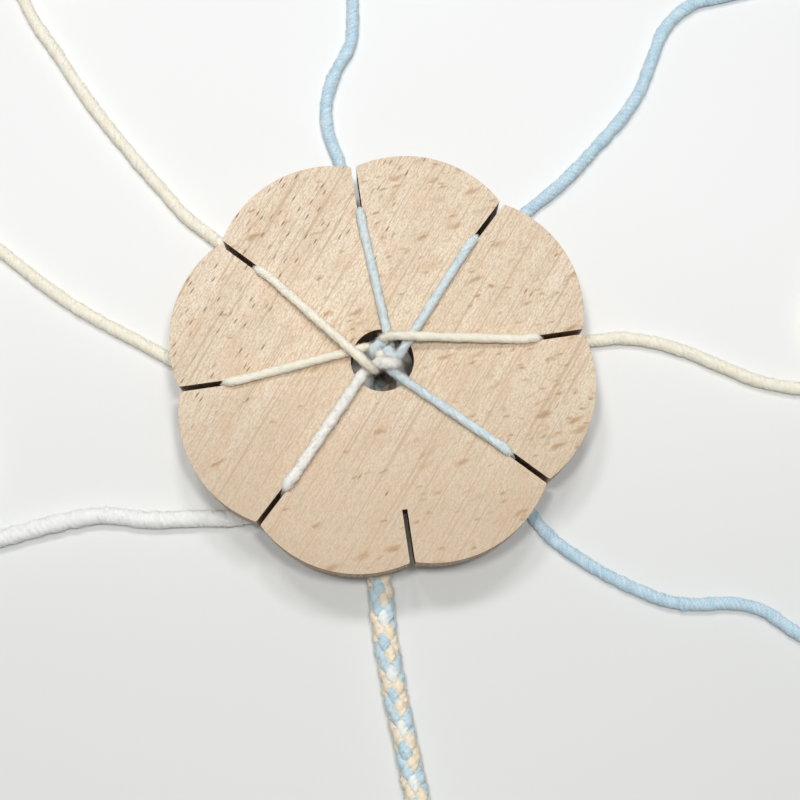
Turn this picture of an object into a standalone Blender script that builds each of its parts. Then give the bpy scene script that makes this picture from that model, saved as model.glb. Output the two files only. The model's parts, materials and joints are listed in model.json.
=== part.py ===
"""Wooden kumihimo disk with eight slots, set up for a seven-strand round braid.

Metres, +Z up. The origin is the disk's centre: on the hole's axis, half way through the wood.
+X and +Y lie in the disk's plane. The disk lies level, a little above the surface that the
yarn and the braid lie on.
"""
import math

import bmesh
import bpy
from mathutils import Vector

MM = 0.001

# Disk
DISK_RADIUS = 50.0 * MM          # to the crown of each lobe
MOUTH_RADIUS = 47.0 * MM         # to the corner where two lobes meet, at a slot's mouth
DISK_THICKNESS = 10.0 * MM
HOLE_DIAMETER = 14.6 * MM
SLOT_COUNT = 8
SLOT_TURN = math.radians(8.45)   # from +X to the first slot
SLOT_WIDTH = 1.2 * MM
SLOT_LENGTH = 12.0 * MM
MOUTH_EASE = 0.5 * MM            # the small round where a slot's wall meets the rim
EDGE_EASE = 0.25 * MM            # the worn edge round each face
LOBE_STEPS = 14
EASE_STEPS = 3
HOLE_STEPS = 72

# Clearances
SEAT_GAP = 0.3 * MM              # between pieces that touch
GROUND_GAP = 7.5 * MM            # from the disk's underside to the surface that it lies above

# Yarn
YARN_DIAMETER = 3.0 * MM         # cream and blue, where it lies loose
WHITE_DIAMETER = 4.0 * MM        # the thicker, fluffier yarn
TAUT_DIAMETER = 2.1 * MM         # where it is stretched over the disk
WHITE_TAUT_DIAMETER = 2.6 * MM
YARN_SPACING = 2.6               # diameters between the points of a tube

# Coils that the strands' free ends are wound into
COIL_RADIUS = 16.0 * MM          # to the middle of the turns
WHITE_COIL_RADIUS = 20.0 * MM
COIL_SECTION_WIDE = 2.3          # diameters of yarn across the bundle of turns
COIL_SECTION_HIGH = 2.0
COIL_ROUNDING = 3.0              # exponent of the section's outline, 2 for an ellipse
COIL_SECTION_STEPS = 12
COIL_STEPS = 30

# Braid
BRAID_DIAMETER = 6.1 * MM
BRAID_TOP = 1.0 * MM             # above the disk's top face
BRAID_OFFSET = (0.6 * MM, 2.2 * MM)
BRAID_BEND_START = -1.8 * MM     # below the disk's top face, where the braid starts to turn
BRAID_BEND_STEPS = 7
KNOT_SIZE = (15.0 * MM, 13.0 * MM, 11.5 * MM)
TAIL_LENGTH = 14.0 * MM
TAIL_WIDTH = 8.0 * MM
TAIL_HEIGHT = 5.0 * MM
TAIL_FLARE = 1.7

# Colours, roughness
BEECH = (0.78, 0.62, 0.45, 1.0)
BLUE = (0.56, 0.73, 0.86, 1.0)
CREAM = (0.90, 0.82, 0.66, 1.0)
WHITE = (0.88, 0.89, 0.87, 1.0)
BRAID_MIX = (0.82, 0.82, 0.76, 1.0)
WOOD_ROUGHNESS = 0.6
YARN_ROUGHNESS = 0.95

TOP = DISK_THICKNESS / 2
UNDERSIDE = -DISK_THICKNESS / 2
GROUND = UNDERSIDE - GROUND_GAP
SLOT_END = MOUTH_RADIUS - SLOT_LENGTH

# Each strand: slot number counted clockwise from the top, colour, its points at the braid (the
# third value is the rise above a strand that lies on the disk), its route on the ground out to
# its coil, and the side that it winds to, 1 for left. Millimetres, chosen by hand.
STRANDS = {
    "blue_strand_1": {
        "slot": 1, "colour": BLUE,
        "hub": [(1.35, 5.95, 0.0)],
        "route": [(-8.2, 43.0), (-10.6, 52.9), (-13.6, 61.1), (-14.1, 68.0), (-11.9, 76.5), (-8.3, 83.7),
                  (-7.7, 94.0), (-8.4, 105.0)],
        "turn": -1,
    },
    "blue_strand_2": {
        "slot": 2, "colour": BLUE,
        "hub": [(5.0, 2.9, 0.0)],
        "route": [(28.0, 34.8), (36.2, 41.3), (45.2, 49.0), (52.8, 57.4), (59.1, 64.6), (63.8, 71.7),
                  (67.2, 80.1), (70.8, 88.6), (77.5, 94.8), (85.2, 97.0), (94.0, 99.2)],
        "turn": 1,
    },
    "cream_strand_3": {
        "slot": 3, "colour": CREAM,
        "hub": [(-1.0, 3.2, 1.1), (0.6, 4.7, 2.3), (2.6, 5.1, 2.5), (8.0, 5.2, 2.45)],
        "route": [(43.0, 8.0), (50.3, 8.2), (57.5, 8.9), (64.6, 8.1), (73.3, 5.6), (81.8, 2.0),
                  (91.0, -1.7), (100.0, -3.4), (107.5, -4.2)],
        "turn": 1,
    },
    "blue_strand_4": {
        "slot": 4, "colour": BLUE,
        "hub": [(1.6, -2.1, 0.0)],
        "route": [(33.0, -29.5), (37.9, -37.3), (48.2, -45.4), (54.7, -49.1), (61.3, -52.2), (67.7, -54.5),
                  (74.7, -55.2), (81.5, -54.8), (88.7, -56.2), (96.5, -61.2), (102.8, -65.4)],
        "turn": 1,
    },
    "white_strand_6": {
        "slot": 6, "colour": WHITE,
        "hub": [(-1.8, -0.55, 0.0)],
        "route": [(-26.5, -32.5), (-34.5, -34.9), (-43.0, -35.0), (-54.8, -35.4), (-66.6, -34.4),
                  (-78.3, -36.6), (-88.0, -39.3), (-96.5, -41.7)],
        "turn": -1,
    },
    "cream_strand_7": {
        "slot": 7, "colour": CREAM,
        "hub": [(-3.1, 2.9, 0.0)],
        "route": [(-43.0, -1.2), (-50.6, 3.2), (-59.6, 8.2), (-68.3, 12.8), (-75.9, 17.4), (-83.2, 22.6),
                  (-90.8, 28.6), (-97.0, 33.4)],
        "turn": 1,
    },
    "cream_strand_8": {
        "slot": 8, "colour": CREAM,
        "hub": [(-2.2, -1.9, 2.95), (-6.6, 1.8, 2.6)],
        "route": [(-33.6, 26.4), (-39.6, 32.3), (-47.4, 38.4), (-54.3, 46.0), (-62.1, 55.1), (-69.4, 64.1),
                  (-75.3, 72.2), (-80.7, 80.4), (-86.9, 89.3), (-92.0, 99.0)],
        "turn": -1,
    },
}

# The braid on the ground, from under the disk to the knot that it starts from.
BRAID_ROUTE = [(-0.2, -24.0), (-0.7, -36.0), (-0.6, -48.0), (0.6, -61.2), (3.4, -77.2), (6.6, -92.0), (8.9, -103.0),
               (9.8, -107.5)]


def clear_scene():
    """Remove every object of the open file."""
    for scene_object in list(bpy.data.objects):
        bpy.data.objects.remove(scene_object)


def make_material(name, colour, roughness):
    material = bpy.data.materials.new(name)
    material.use_nodes = True
    shader = material.node_tree.nodes["Principled BSDF"]
    shader.inputs["Base Color"].default_value = colour
    shader.inputs["Roughness"].default_value = roughness
    shader.inputs["Metallic"].default_value = 0.0
    return material


def add_object(name, data, collection, colour, roughness):
    piece = bpy.data.objects.new(name, data)
    piece.data.materials.append(make_material(name, colour, roughness))
    collection.objects.link(piece)
    return piece


def turned(point, angle):
    """A flat point turned about the origin."""
    x, y = point
    return (x * math.cos(angle) - y * math.sin(angle), x * math.sin(angle) + y * math.cos(angle))


def slot_angle(number):
    """The direction of a slot. Slot 3 is the first from +X, and the numbers go clockwise."""
    return SLOT_TURN + (3 - number) * math.tau / SLOT_COUNT


def arc_points(centre, radius, start, end, steps):
    points = []
    for step in range(steps + 1):
        angle = start + (end - start) * step / steps
        points.append((centre[0] + radius * math.cos(angle), centre[1] + radius * math.sin(angle)))
    return points


def lobe_outline():
    """One lobe with half of the slot on each side of it, its crown on +X, counter-clockwise.

    The lobe is a single arc through its crown and the two mouth corners. Each mouth corner is
    eased by a small arc that touches both the lobe and the slot's wall.
    """
    half_pitch = math.pi / SLOT_COUNT
    corner = (MOUTH_RADIUS * math.cos(half_pitch), MOUTH_RADIUS * math.sin(half_pitch))
    centre_x = (MOUTH_RADIUS ** 2 - DISK_RADIUS ** 2) / (2 * (corner[0] - DISK_RADIUS))
    lobe_radius = DISK_RADIUS - centre_x

    # In the slot's own axes the wall is the line v = -SLOT_WIDTH / 2, with u running outwards.
    lobe_centre = turned((centre_x, 0.0), -half_pitch)
    ease_v = -SLOT_WIDTH / 2 - MOUTH_EASE
    reach = math.sqrt((lobe_radius - MOUTH_EASE) ** 2 - (ease_v - lobe_centre[1]) ** 2)
    ease_centre = (lobe_centre[0] + reach, ease_v)
    lobe_end = math.atan2(ease_v - lobe_centre[1], reach)

    ease = arc_points(ease_centre, MOUTH_EASE, lobe_end, math.pi / 2, EASE_STEPS)
    half_slot = [turned(point, half_pitch) for point in ease + [(SLOT_END, -SLOT_WIDTH / 2)]]
    lobe = arc_points((centre_x, 0.0), lobe_radius, -lobe_end - half_pitch, lobe_end + half_pitch, LOBE_STEPS)
    mirrored_slot = [(x, -y) for x, y in reversed(half_slot)]
    return mirrored_slot + lobe[1:-1] + half_slot


def disk_outline():
    points = []
    for index in range(SLOT_COUNT):
        angle = SLOT_TURN + (index + 0.5) * math.tau / SLOT_COUNT
        points.extend(turned(point, angle) for point in lobe_outline())
    return points


def make_disk(collection):
    """The slotted disk: its flat outline with the hole, given a thickness and eased edges."""
    curve = bpy.data.curves.new("disk_outline", "CURVE")
    curve.dimensions = "2D"
    curve.fill_mode = "BOTH"
    curve.extrude = DISK_THICKNESS / 2
    hole = arc_points((0.0, 0.0), HOLE_DIAMETER / 2, 0.0, math.tau, HOLE_STEPS)[:-1]
    for outline in (disk_outline(), hole):
        spline = curve.splines.new("POLY")
        spline.points.add(len(outline) - 1)
        for point, (x, y) in zip(spline.points, outline):
            point.co = (x, y, 0.0, 1.0)
        spline.use_cyclic_u = True
    blank = bpy.data.objects.new("disk_blank", curve)
    collection.objects.link(blank)
    bpy.context.view_layer.update()
    evaluated = blank.evaluated_get(bpy.context.evaluated_depsgraph_get())
    mesh = bpy.data.meshes.new_from_object(evaluated)
    bpy.data.objects.remove(blank)
    weld(mesh)
    mesh.name = "disk"
    disk = add_object("disk", mesh, collection, BEECH, WOOD_ROUGHNESS)
    ease = disk.modifiers.new("eased_edges", "BEVEL")
    ease.width = EDGE_EASE
    ease.segments = 1
    ease.limit_method = "ANGLE"
    ease.angle_limit = math.radians(60)
    mesh.shade_smooth()
    mesh.set_sharp_from_angle(angle=math.radians(30))
    return disk


def weld(mesh):
    """Join the loose caps of a mesh that came from a curve."""
    shape = bmesh.new()
    shape.from_mesh(mesh)
    bmesh.ops.remove_doubles(shape, verts=shape.verts, dist=0.01 * MM)
    bmesh.ops.recalc_face_normals(shape, faces=shape.faces)
    shape.to_mesh(mesh)
    shape.free()


def smooth_points(controls, spacing):
    """Points of a smooth curve through the controls, with a radius at each.

    Args:
        controls: (Vector, radius) pairs along the route.
        spacing: the longest step between two points, in diameters.
    """
    points = []
    last = len(controls) - 1
    for index in range(last):
        before = controls[max(index - 1, 0)][0]
        start, start_radius = controls[index]
        end, end_radius = controls[index + 1]
        after = controls[min(index + 2, last)][0]
        span = (end - start).length
        start_pull = slope(before, start, end) * span
        end_pull = slope(start, end, after) * span
        steps = max(1, math.ceil(span / (spacing * (start_radius + end_radius))))
        for step in range(steps):
            t = step / steps
            place = (start * (2 * t ** 3 - 3 * t ** 2 + 1) + start_pull * (t ** 3 - 2 * t ** 2 + t)
                     + end * (3 * t ** 2 - 2 * t ** 3) + end_pull * (t ** 3 - t ** 2))
            points.append((place, start_radius + (end_radius - start_radius) * t))
    points.append(controls[-1])
    return points


def slope(before, middle, after):
    """Direction of the curve at a control, per unit of length, from its two neighbours."""
    back = (middle - before).length
    ahead = (after - middle).length
    if back == 0.0:
        return (after - middle) / ahead
    if ahead == 0.0:
        return (middle - before) / back
    return ((middle - before) / back * ahead + (after - middle) / ahead * back) / (back + ahead)


def make_tube(name, points, radius, collection, colour, sides=2):
    """A yarn as a round tube along its points, which carry the radius there."""
    curve = bpy.data.curves.new(name, "CURVE")
    curve.dimensions = "3D"
    curve.bevel_depth = radius
    curve.bevel_resolution = sides
    curve.use_fill_caps = True
    spline = curve.splines.new("POLY")
    spline.points.add(len(points) - 1)
    for point, (place, local_radius) in zip(spline.points, points):
        point.co = (*place, 1.0)
        point.radius = local_radius / radius
    return add_object(name, curve, collection, colour, YARN_ROUGHNESS)


def slot_passage(number, taut_radius, loose_radius, towards):
    """The yarn from the disk's top face, down through the slot's inner end, to the ground.

    The yarn is squeezed to fit the slot with a gap on each side. It turns over the top edge
    at a distance that keeps the gap, and swells again below the disk.
    """
    pinched = SLOT_WIDTH / 2 - SEAT_GAP
    angle = slot_angle(number)
    outwards = Vector((math.cos(angle), math.sin(angle), 0.0))
    up = Vector((0.0, 0.0, 1.0))
    edge = outwards * SLOT_END + up * TOP
    passage = []
    for degrees in (90, 60, 35, 15, 0):
        turn = math.radians(degrees)
        radius = pinched + (taut_radius - pinched) * math.sin(turn) ** 2
        reach = radius + SEAT_GAP
        passage.append((edge + (outwards * math.cos(turn) + up * math.sin(turn)) * reach, radius))
    drop = outwards * (SLOT_END + pinched + SEAT_GAP)
    passage.append((drop, pinched))
    passage.append((drop + up * (UNDERSIDE - SEAT_GAP), pinched))
    aside = Vector((*towards, 0.0)) - drop
    aside.z = 0.0
    aside.normalize()
    lay = GROUND + loose_radius
    for share, sink, swell in ((0.06, 0.30, 0.45), (0.30, 0.66, 0.85), (0.70, 0.94, 1.0)):
        height = UNDERSIDE + (lay - UNDERSIDE) * sink
        passage.append((drop + aside * (share * GROUND_GAP) + up * height, loose_radius * swell))
    return passage


def make_strand(name, strand, collection):
    """One strand: from the braid over the disk, through its slot and over the ground to its coil."""
    white = strand["colour"] is WHITE
    loose_radius = (WHITE_DIAMETER if white else YARN_DIAMETER) / 2
    taut_radius = (WHITE_TAUT_DIAMETER if white else TAUT_DIAMETER) / 2
    controls = []
    for x, y, rise in strand["hub"]:
        height = TOP + SEAT_GAP + taut_radius + rise * MM
        controls.append((Vector((x * MM, y * MM, height)), taut_radius))
    route = [(x * MM, y * MM) for x, y in strand["route"]]
    controls.extend(slot_passage(strand["slot"], taut_radius, loose_radius, route[0]))
    lay = GROUND + loose_radius
    controls.extend((Vector((x, y, lay)), loose_radius) for x, y in route)

    make_tube(name, smooth_points(controls, YARN_SPACING), loose_radius, collection, strand["colour"])
    turns_radius = WHITE_COIL_RADIUS if white else COIL_RADIUS
    half_wide = COIL_SECTION_WIDE * loose_radius
    centre = coil_centre(controls[-2][0], controls[-1][0], turns_radius, half_wide, loose_radius, strand["turn"])
    make_coil(name + "_coil", centre, turns_radius, half_wide, COIL_SECTION_HIGH * loose_radius, collection,
              strand["colour"])


def coil_centre(before, end, turns_radius, half_wide, loose_radius, turn):
    """Where a coil lies whose outermost turn the yarn runs straight into.

    The yarn's end lies so far short of that turn that its side keeps the gap to the coil.
    """
    heading = Vector((end.x - before.x, end.y - before.y, 0.0)).normalized()
    side = Vector((-heading.y, heading.x, 0.0)) * turn
    lead = math.sqrt((turns_radius + half_wide + SEAT_GAP) ** 2 - turns_radius ** 2)
    return end + heading * lead + side * (turns_radius + loose_radius)


def make_coil(name, centre, turns_radius, half_wide, half_high, collection, colour):
    """The outer shape of a coil of yarn: a ring of rounded section that lies on the ground."""
    mesh = bpy.data.meshes.new(name)
    section = []
    for step in range(COIL_SECTION_STEPS):
        angle = math.pi / 2 - math.tau * step / COIL_SECTION_STEPS
        across = math.copysign(abs(math.cos(angle)) ** (2 / COIL_ROUNDING), math.cos(angle))
        above = math.copysign(abs(math.sin(angle)) ** (2 / COIL_ROUNDING), math.sin(angle))
        section.append((turns_radius + half_wide * across, 0.0, half_high * above))
    edges = [(step, (step + 1) % COIL_SECTION_STEPS) for step in range(COIL_SECTION_STEPS)]
    mesh.from_pydata(section, edges, [])
    coil = add_object(name, mesh, collection, colour, YARN_ROUGHNESS)
    coil.location = (centre.x, centre.y, GROUND + half_high)
    turn = coil.modifiers.new("turned", "SCREW")
    turn.steps = COIL_STEPS
    turn.render_steps = COIL_STEPS
    turn.use_merge_vertices = True
    turn.merge_threshold = 0.01 * MM
    turn.use_smooth_shade = True
    return coil


def make_braid(collection):
    """The finished braid: down through the hole, round a bend and along the ground to its knot."""
    radius = BRAID_DIAMETER / 2
    lay = GROUND + radius
    x, y = BRAID_OFFSET
    bend_top = TOP + BRAID_BEND_START
    bend_radius = bend_top - lay
    controls = [(Vector((x, y, TOP + BRAID_TOP)), radius)]
    first_x, first_y = (value * MM for value in BRAID_ROUTE[0])
    for step in range(BRAID_BEND_STEPS + 1):
        turn = math.pi / 2 * step / BRAID_BEND_STEPS
        along = y - bend_radius + bend_radius * math.cos(turn)
        share = (y - along) / (y - first_y)
        controls.append((Vector((x + (first_x - x) * share, along, bend_top - bend_radius * math.sin(turn))), radius))
    controls.extend((Vector((px * MM, py * MM, lay)), radius) for px, py in BRAID_ROUTE)
    make_tube("braid", smooth_points(controls, 1.2), radius, collection, BRAID_MIX, sides=3)
    heading = (controls[-1][0] - controls[-2][0]).normalized()
    make_knot(controls[-1][0], heading, collection)


def make_knot(braid_end, heading, collection):
    """The overhand knot that the braid starts from, and the short tails of yarn beyond it."""
    knot_mesh = bpy.data.meshes.new("braid_knot")
    shape = bmesh.new()
    bmesh.ops.create_uvsphere(shape, u_segments=20, v_segments=12, radius=0.5)
    bmesh.ops.scale(shape, vec=KNOT_SIZE, verts=shape.verts)
    shape.to_mesh(knot_mesh)
    shape.free()
    knot = add_object("braid_knot", knot_mesh, collection, BRAID_MIX, YARN_ROUGHNESS)
    facing = math.atan2(heading.y, heading.x)
    centre = braid_end + heading * (KNOT_SIZE[0] / 2 + SEAT_GAP)
    knot.location = (centre.x, centre.y, GROUND + KNOT_SIZE[2] / 2)
    knot.rotation_euler = (0.0, 0.0, facing)
    knot_mesh.shade_smooth()

    tail_mesh = bpy.data.meshes.new("braid_tails")
    shape = bmesh.new()
    bmesh.ops.create_cone(shape, cap_ends=True, segments=16, radius1=0.5, radius2=0.5 * TAIL_FLARE, depth=1.0)
    bmesh.ops.scale(shape, vec=(TAIL_HEIGHT, TAIL_WIDTH, TAIL_LENGTH), verts=shape.verts)
    for vertex in shape.verts:
        x, y, z = vertex.co
        flattened = max(-TAIL_HEIGHT / 2, min(TAIL_HEIGHT / 2, -x))
        vertex.co = (z, y, flattened)
    bmesh.ops.recalc_face_normals(shape, faces=shape.faces)
    shape.to_mesh(tail_mesh)
    shape.free()
    tails = add_object("braid_tails", tail_mesh, collection, BRAID_MIX, YARN_ROUGHNESS)
    reach = KNOT_SIZE[0] / 2 + TAIL_LENGTH / 2 + SEAT_GAP
    tails.location = (centre.x + heading.x * reach, centre.y + heading.y * reach, GROUND + TAIL_HEIGHT / 2)
    tails.rotation_euler = (0.0, 0.0, facing)


def main():
    clear_scene()
    collection = bpy.data.collections.new("kumihimo_disk")
    bpy.context.scene.collection.children.link(collection)
    make_disk(collection)
    for name, strand in STRANDS.items():
        make_strand(name, strand, collection)
    make_braid(collection)


main()
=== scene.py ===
"""Looks of a wooden kumihimo disk, its seven strands of yarn and the round braid that they make.

Metres. The origin is the disk's centre, half way through the wood; +Z is up, +X to the right and
+Y away from the end of the braid. The yarn and the braid lie on the table below the disk.
"""

import json
import logging
import math
from dataclasses import dataclass, field
from enum import Enum

import bmesh
import bpy
import numpy as np
from mathutils import Matrix, Vector

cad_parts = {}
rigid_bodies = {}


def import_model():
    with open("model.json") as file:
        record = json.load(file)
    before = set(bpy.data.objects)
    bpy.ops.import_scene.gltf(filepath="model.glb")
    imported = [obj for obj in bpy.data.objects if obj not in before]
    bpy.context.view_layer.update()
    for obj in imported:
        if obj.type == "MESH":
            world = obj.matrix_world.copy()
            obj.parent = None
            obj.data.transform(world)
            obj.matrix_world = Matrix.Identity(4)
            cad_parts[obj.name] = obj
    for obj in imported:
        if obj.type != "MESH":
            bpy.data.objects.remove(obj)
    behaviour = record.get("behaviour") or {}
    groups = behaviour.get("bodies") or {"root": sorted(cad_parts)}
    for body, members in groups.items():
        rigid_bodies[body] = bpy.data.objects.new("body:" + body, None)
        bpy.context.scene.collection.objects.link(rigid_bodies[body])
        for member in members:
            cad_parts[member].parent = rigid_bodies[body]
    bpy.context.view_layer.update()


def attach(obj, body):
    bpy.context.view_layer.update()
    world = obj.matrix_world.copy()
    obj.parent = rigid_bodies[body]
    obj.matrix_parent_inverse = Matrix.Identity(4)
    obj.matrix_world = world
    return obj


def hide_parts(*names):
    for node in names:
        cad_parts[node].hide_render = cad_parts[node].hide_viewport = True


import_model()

log = logging.getLogger("kumihimo_disk")

Array = np.ndarray
Colour = tuple[float, float, float, float]

MM = 0.001
UP = Vector((0.0, 0.0, 1.0))

# Driving sizes, the same as the solids have
DISK_RADIUS = 50.0 * MM
MOUTH_RADIUS = 47.0 * MM
DISK_THICKNESS = 10.0 * MM
HOLE_RADIUS = 7.3 * MM
SLOT_COUNT = 8
SLOT_TURN = math.radians(8.45)
SLOT_WIDTH = 1.2 * MM
SLOT_LENGTH = 12.0 * MM
SEAT_GAP = 0.3 * MM
GROUND_GAP = 7.5 * MM
TOP = DISK_THICKNESS / 2
UNDERSIDE = -DISK_THICKNESS / 2
GROUND = UNDERSIDE - GROUND_GAP
SLOT_END = MOUTH_RADIUS - SLOT_LENGTH

# How bright the surroundings look, where 1 is white
BACKDROP = 0.88
# How much a yarn's own axes are shortened along it, which draws its streaks out
FIBRE_STRETCH = 0.18
# The steps between two points of a yarn's line, and of a yarn's line in the braid
LINE_STEP = 0.36 * MM
ROPE_STEP = 1.2 * LINE_STEP
# The starts of the random draws. TIE_SEED is added to a strand's own, and a strand's number to the others
TIE_SEED = 50
HEART_SEED = 69
BRAID_SEED = 70
KNOT_SEED = 90
TAIL_SEED = 110


def srgb(red: int, green: int, blue: int) -> Colour:
    """Turn a screen colour of 0 to 255 into the linear colour that a shader takes.

    Args:
        red: red of 0 to 255.
        green: green of 0 to 255.
        blue: blue of 0 to 255.

    Returns:
        The linear colour with full alpha.
    """
    def linear(value: int) -> float:
        """Return one channel in linear light."""
        share = value / 255
        return share / 12.92 if share <= 0.04045 else ((share + 0.055) / 1.055) ** 2.4

    return (linear(red), linear(green), linear(blue), 1.0)


def backdrop_rays(tree: bpy.types.NodeTree) -> bpy.types.NodeSocket:
    """Return 1 for the rays that show the backdrop: the camera's, and those by way of metal or glass.

    Args:
        tree: the node tree of a material or of the world.

    Returns:
        The socket of 0 to 1.
    """
    path = tree.nodes.new("ShaderNodeLightPath")
    shown = path.outputs["Is Camera Ray"]
    for name in ("Is Glossy Ray", "Is Transmission Ray"):
        node = tree.nodes.new("ShaderNodeMath")
        node.operation = "ADD"
        node.use_clamp = True
        tree.links.new(shown, node.inputs[0])
        tree.links.new(path.outputs[name], node.inputs[1])
        shown = node.outputs[0]
    return shown


class ShaderBoard:
    """A material's node tree, with short ways to add the nodes that the finishes use."""

    def __init__(self, name: str) -> None:
        """Start a material with an empty Principled shader.

        Args:
            name: the material's name.
        """
        self.material = bpy.data.materials.new(name)
        self.material.use_nodes = True
        self.tree = self.material.node_tree
        self.shader = self.tree.nodes["Principled BSDF"]

    def node(self, kind: str, **settings: object) -> bpy.types.Node:
        """Add a node and set its properties.

        Args:
            kind: the node's type without its ShaderNode prefix.
            settings: properties of the node.

        Returns:
            The new node.
        """
        node = self.tree.nodes.new("ShaderNode" + kind)
        for name, value in settings.items():
            setattr(node, name, value)
        return node

    def feed(self, socket: bpy.types.NodeSocket, value: object) -> None:
        """Link a socket, or set its own value.

        Args:
            socket: the input.
            value: an output socket to link, or a constant.
        """
        if isinstance(value, bpy.types.NodeSocket):
            self.tree.links.new(value, socket)
        else:
            socket.default_value = value

    def shade(self, **values: object) -> None:
        """Set or link inputs of the shader.

        Args:
            values: sockets or constants by the input's name, with its spaces as underscores.
        """
        for name, value in values.items():
            self.feed(self.shader.inputs[name.replace("_", " ")], value)

    def axes(self, place: object) -> bpy.types.bpy_prop_collection:
        """Return the X, Y and Z sockets of a vector.

        Args:
            place: the vector socket.
        """
        node = self.node("SeparateXYZ")
        self.feed(node.inputs[0], place)
        return node.outputs

    def length(self, place: object) -> bpy.types.NodeSocket:
        """Return the length of a vector.

        Args:
            place: the vector socket.
        """
        node = self.node("VectorMath", operation="LENGTH")
        self.feed(node.inputs[0], place)
        return node.outputs["Value"]

    def off_axis(self, axes: bpy.types.bpy_prop_collection) -> bpy.types.NodeSocket:
        """Return the distance from the hole's axis.

        Args:
            axes: the X, Y and Z sockets of the place.
        """
        flat = self.node("CombineXYZ")
        self.feed(flat.inputs[0], axes["X"])
        self.feed(flat.inputs[1], axes["Y"])
        return self.length(flat.outputs[0])

    def math(self, operation: str, first: object, second: object = 0.0) -> bpy.types.NodeSocket:
        """Return the result of a Math node.

        Args:
            operation: the operation's name.
            first: a socket or a number.
            second: a socket or a number.
        """
        node = self.node("Math", operation=operation)
        self.feed(node.inputs[0], first)
        self.feed(node.inputs[1], second)
        return node.outputs[0]

    def product(self, first: object, *others: object) -> bpy.types.NodeSocket:
        """Return the product of several values.

        Args:
            first: a socket.
            others: sockets or numbers.
        """
        for other in others:
            first = self.math("MULTIPLY", first, other)
        return first

    def mix(self, share: object, first: object, second: object) -> bpy.types.NodeSocket:
        """Return a mix of two colours.

        Args:
            share: how much of the second colour shows.
            first: a socket or a colour.
            second: a socket or a colour.
        """
        node = self.node("Mix", data_type="RGBA")
        self.feed(node.inputs["Factor"], share)
        self.feed(node.inputs[6], first)
        self.feed(node.inputs[7], second)
        return node.outputs[2]

    def step(self, value: object, low: float, high: float, start: float = 0.0,
             end: float = 1.0) -> bpy.types.NodeSocket:
        """Return a smooth step of a value.

        Args:
            value: a socket.
            low: the value where the step starts.
            high: the value where the step ends.
            start: the result below low.
            end: the result above high.
        """
        node = self.node("MapRange", interpolation_type="SMOOTHSTEP")
        self.feed(node.inputs["Value"], value)
        for name, limit in (("From Min", low), ("From Max", high), ("To Min", start), ("To Max", end)):
            node.inputs[name].default_value = limit
        return node.outputs["Result"]

    def noise(self, place: object, scale: float, detail: float = 2.0, rough: float = 0.5,
              distortion: float = 0.0, output: str = "Fac") -> bpy.types.NodeSocket:
        """Return a noise.

        Args:
            place: the vector socket that it is read at.
            scale: noise cells in a unit of the vector.
            detail: octaves.
            rough: strength of the finer octaves.
            distortion: how much the noise bends itself.
            output: Fac for its grey value or Color for three values at once.
        """
        node = self.node("TexNoise", noise_dimensions="3D")
        self.feed(node.inputs["Vector"], place)
        values = {"Scale": scale, "Detail": detail, "Roughness": rough, "Distortion": distortion}
        for name, value in values.items():
            node.inputs[name].default_value = value
        return node.outputs[output]

    def laid(self, place: object, angle: float, stretch: tuple[float, float, float]) -> bpy.types.NodeSocket:
        """Return a place in axes that are turned about Z and counted in their own cell sizes.

        Args:
            place: the vector socket.
            angle: the direction of the new first axis, in degrees from +X.
            stretch: the length of a cell along each new axis, in millimetres.
        """
        turn = self.node("VectorRotate", rotation_type="Z_AXIS")
        self.feed(turn.inputs["Vector"], place)
        turn.inputs["Angle"].default_value = -math.radians(angle)
        scale = self.node("VectorMath", operation="MULTIPLY")
        self.tree.links.new(turn.outputs[0], scale.inputs[0])
        scale.inputs[1].default_value = tuple(1.0 / (length * MM) for length in stretch)
        return scale.outputs[0]

    def bump(self, height: object, strength: float, distance: float) -> None:
        """Give the shader a bump.

        Args:
            height: a socket of 0 to 1.
            strength: how strong the bump is.
            distance: the height of 1, in metres.
        """
        node = self.node("Bump")
        node.inputs["Strength"].default_value = strength
        node.inputs["Distance"].default_value = distance
        self.feed(node.inputs["Height"], height)
        self.tree.links.new(node.outputs[0], self.shader.inputs["Normal"])


@dataclass(frozen=True)
class GrainLayer:
    """One layer of noise in the wood's grain.

    Attributes:
        cell: its cells' size along the grain, across it and in depth, in millimetres.
        shown: the grey values where the layer starts to show and shows in full.
        share: how much it shows at most.
        detail: octaves of the noise.
        rough: strength of the finer octaves.
        distortion: how much the noise bends itself.
    """

    cell: tuple[float, float, float]
    shown: tuple[float, float]
    share: float = 1.0
    detail: float = 2.0
    rough: float = 0.5
    distortion: float = 0.0

    def grey(self, board: ShaderBoard, place: bpy.types.NodeSocket, angle: float) -> bpy.types.NodeSocket:
        """The layer's noise.

        Args:
            board: the material's nodes.
            place: the place on the wood.
            angle: the direction of the cells' length, in degrees.

        Returns:
            The grey socket.
        """
        return board.noise(board.laid(place, angle, self.cell), 1.0, self.detail, self.rough, self.distortion)

    def over(self, board: ShaderBoard, grey: bpy.types.NodeSocket, below: object,
             above: Colour) -> bpy.types.NodeSocket:
        """Lay a colour over another one where the layer shows.

        Args:
            board: the material's nodes.
            grey: the layer's noise.
            below: the colour below, as a socket or a constant.
            above: the layer's own colour.

        Returns:
            The colour socket.
        """
        return board.mix(board.step(grey, *self.shown, 0.0, self.share), below, above)


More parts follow.
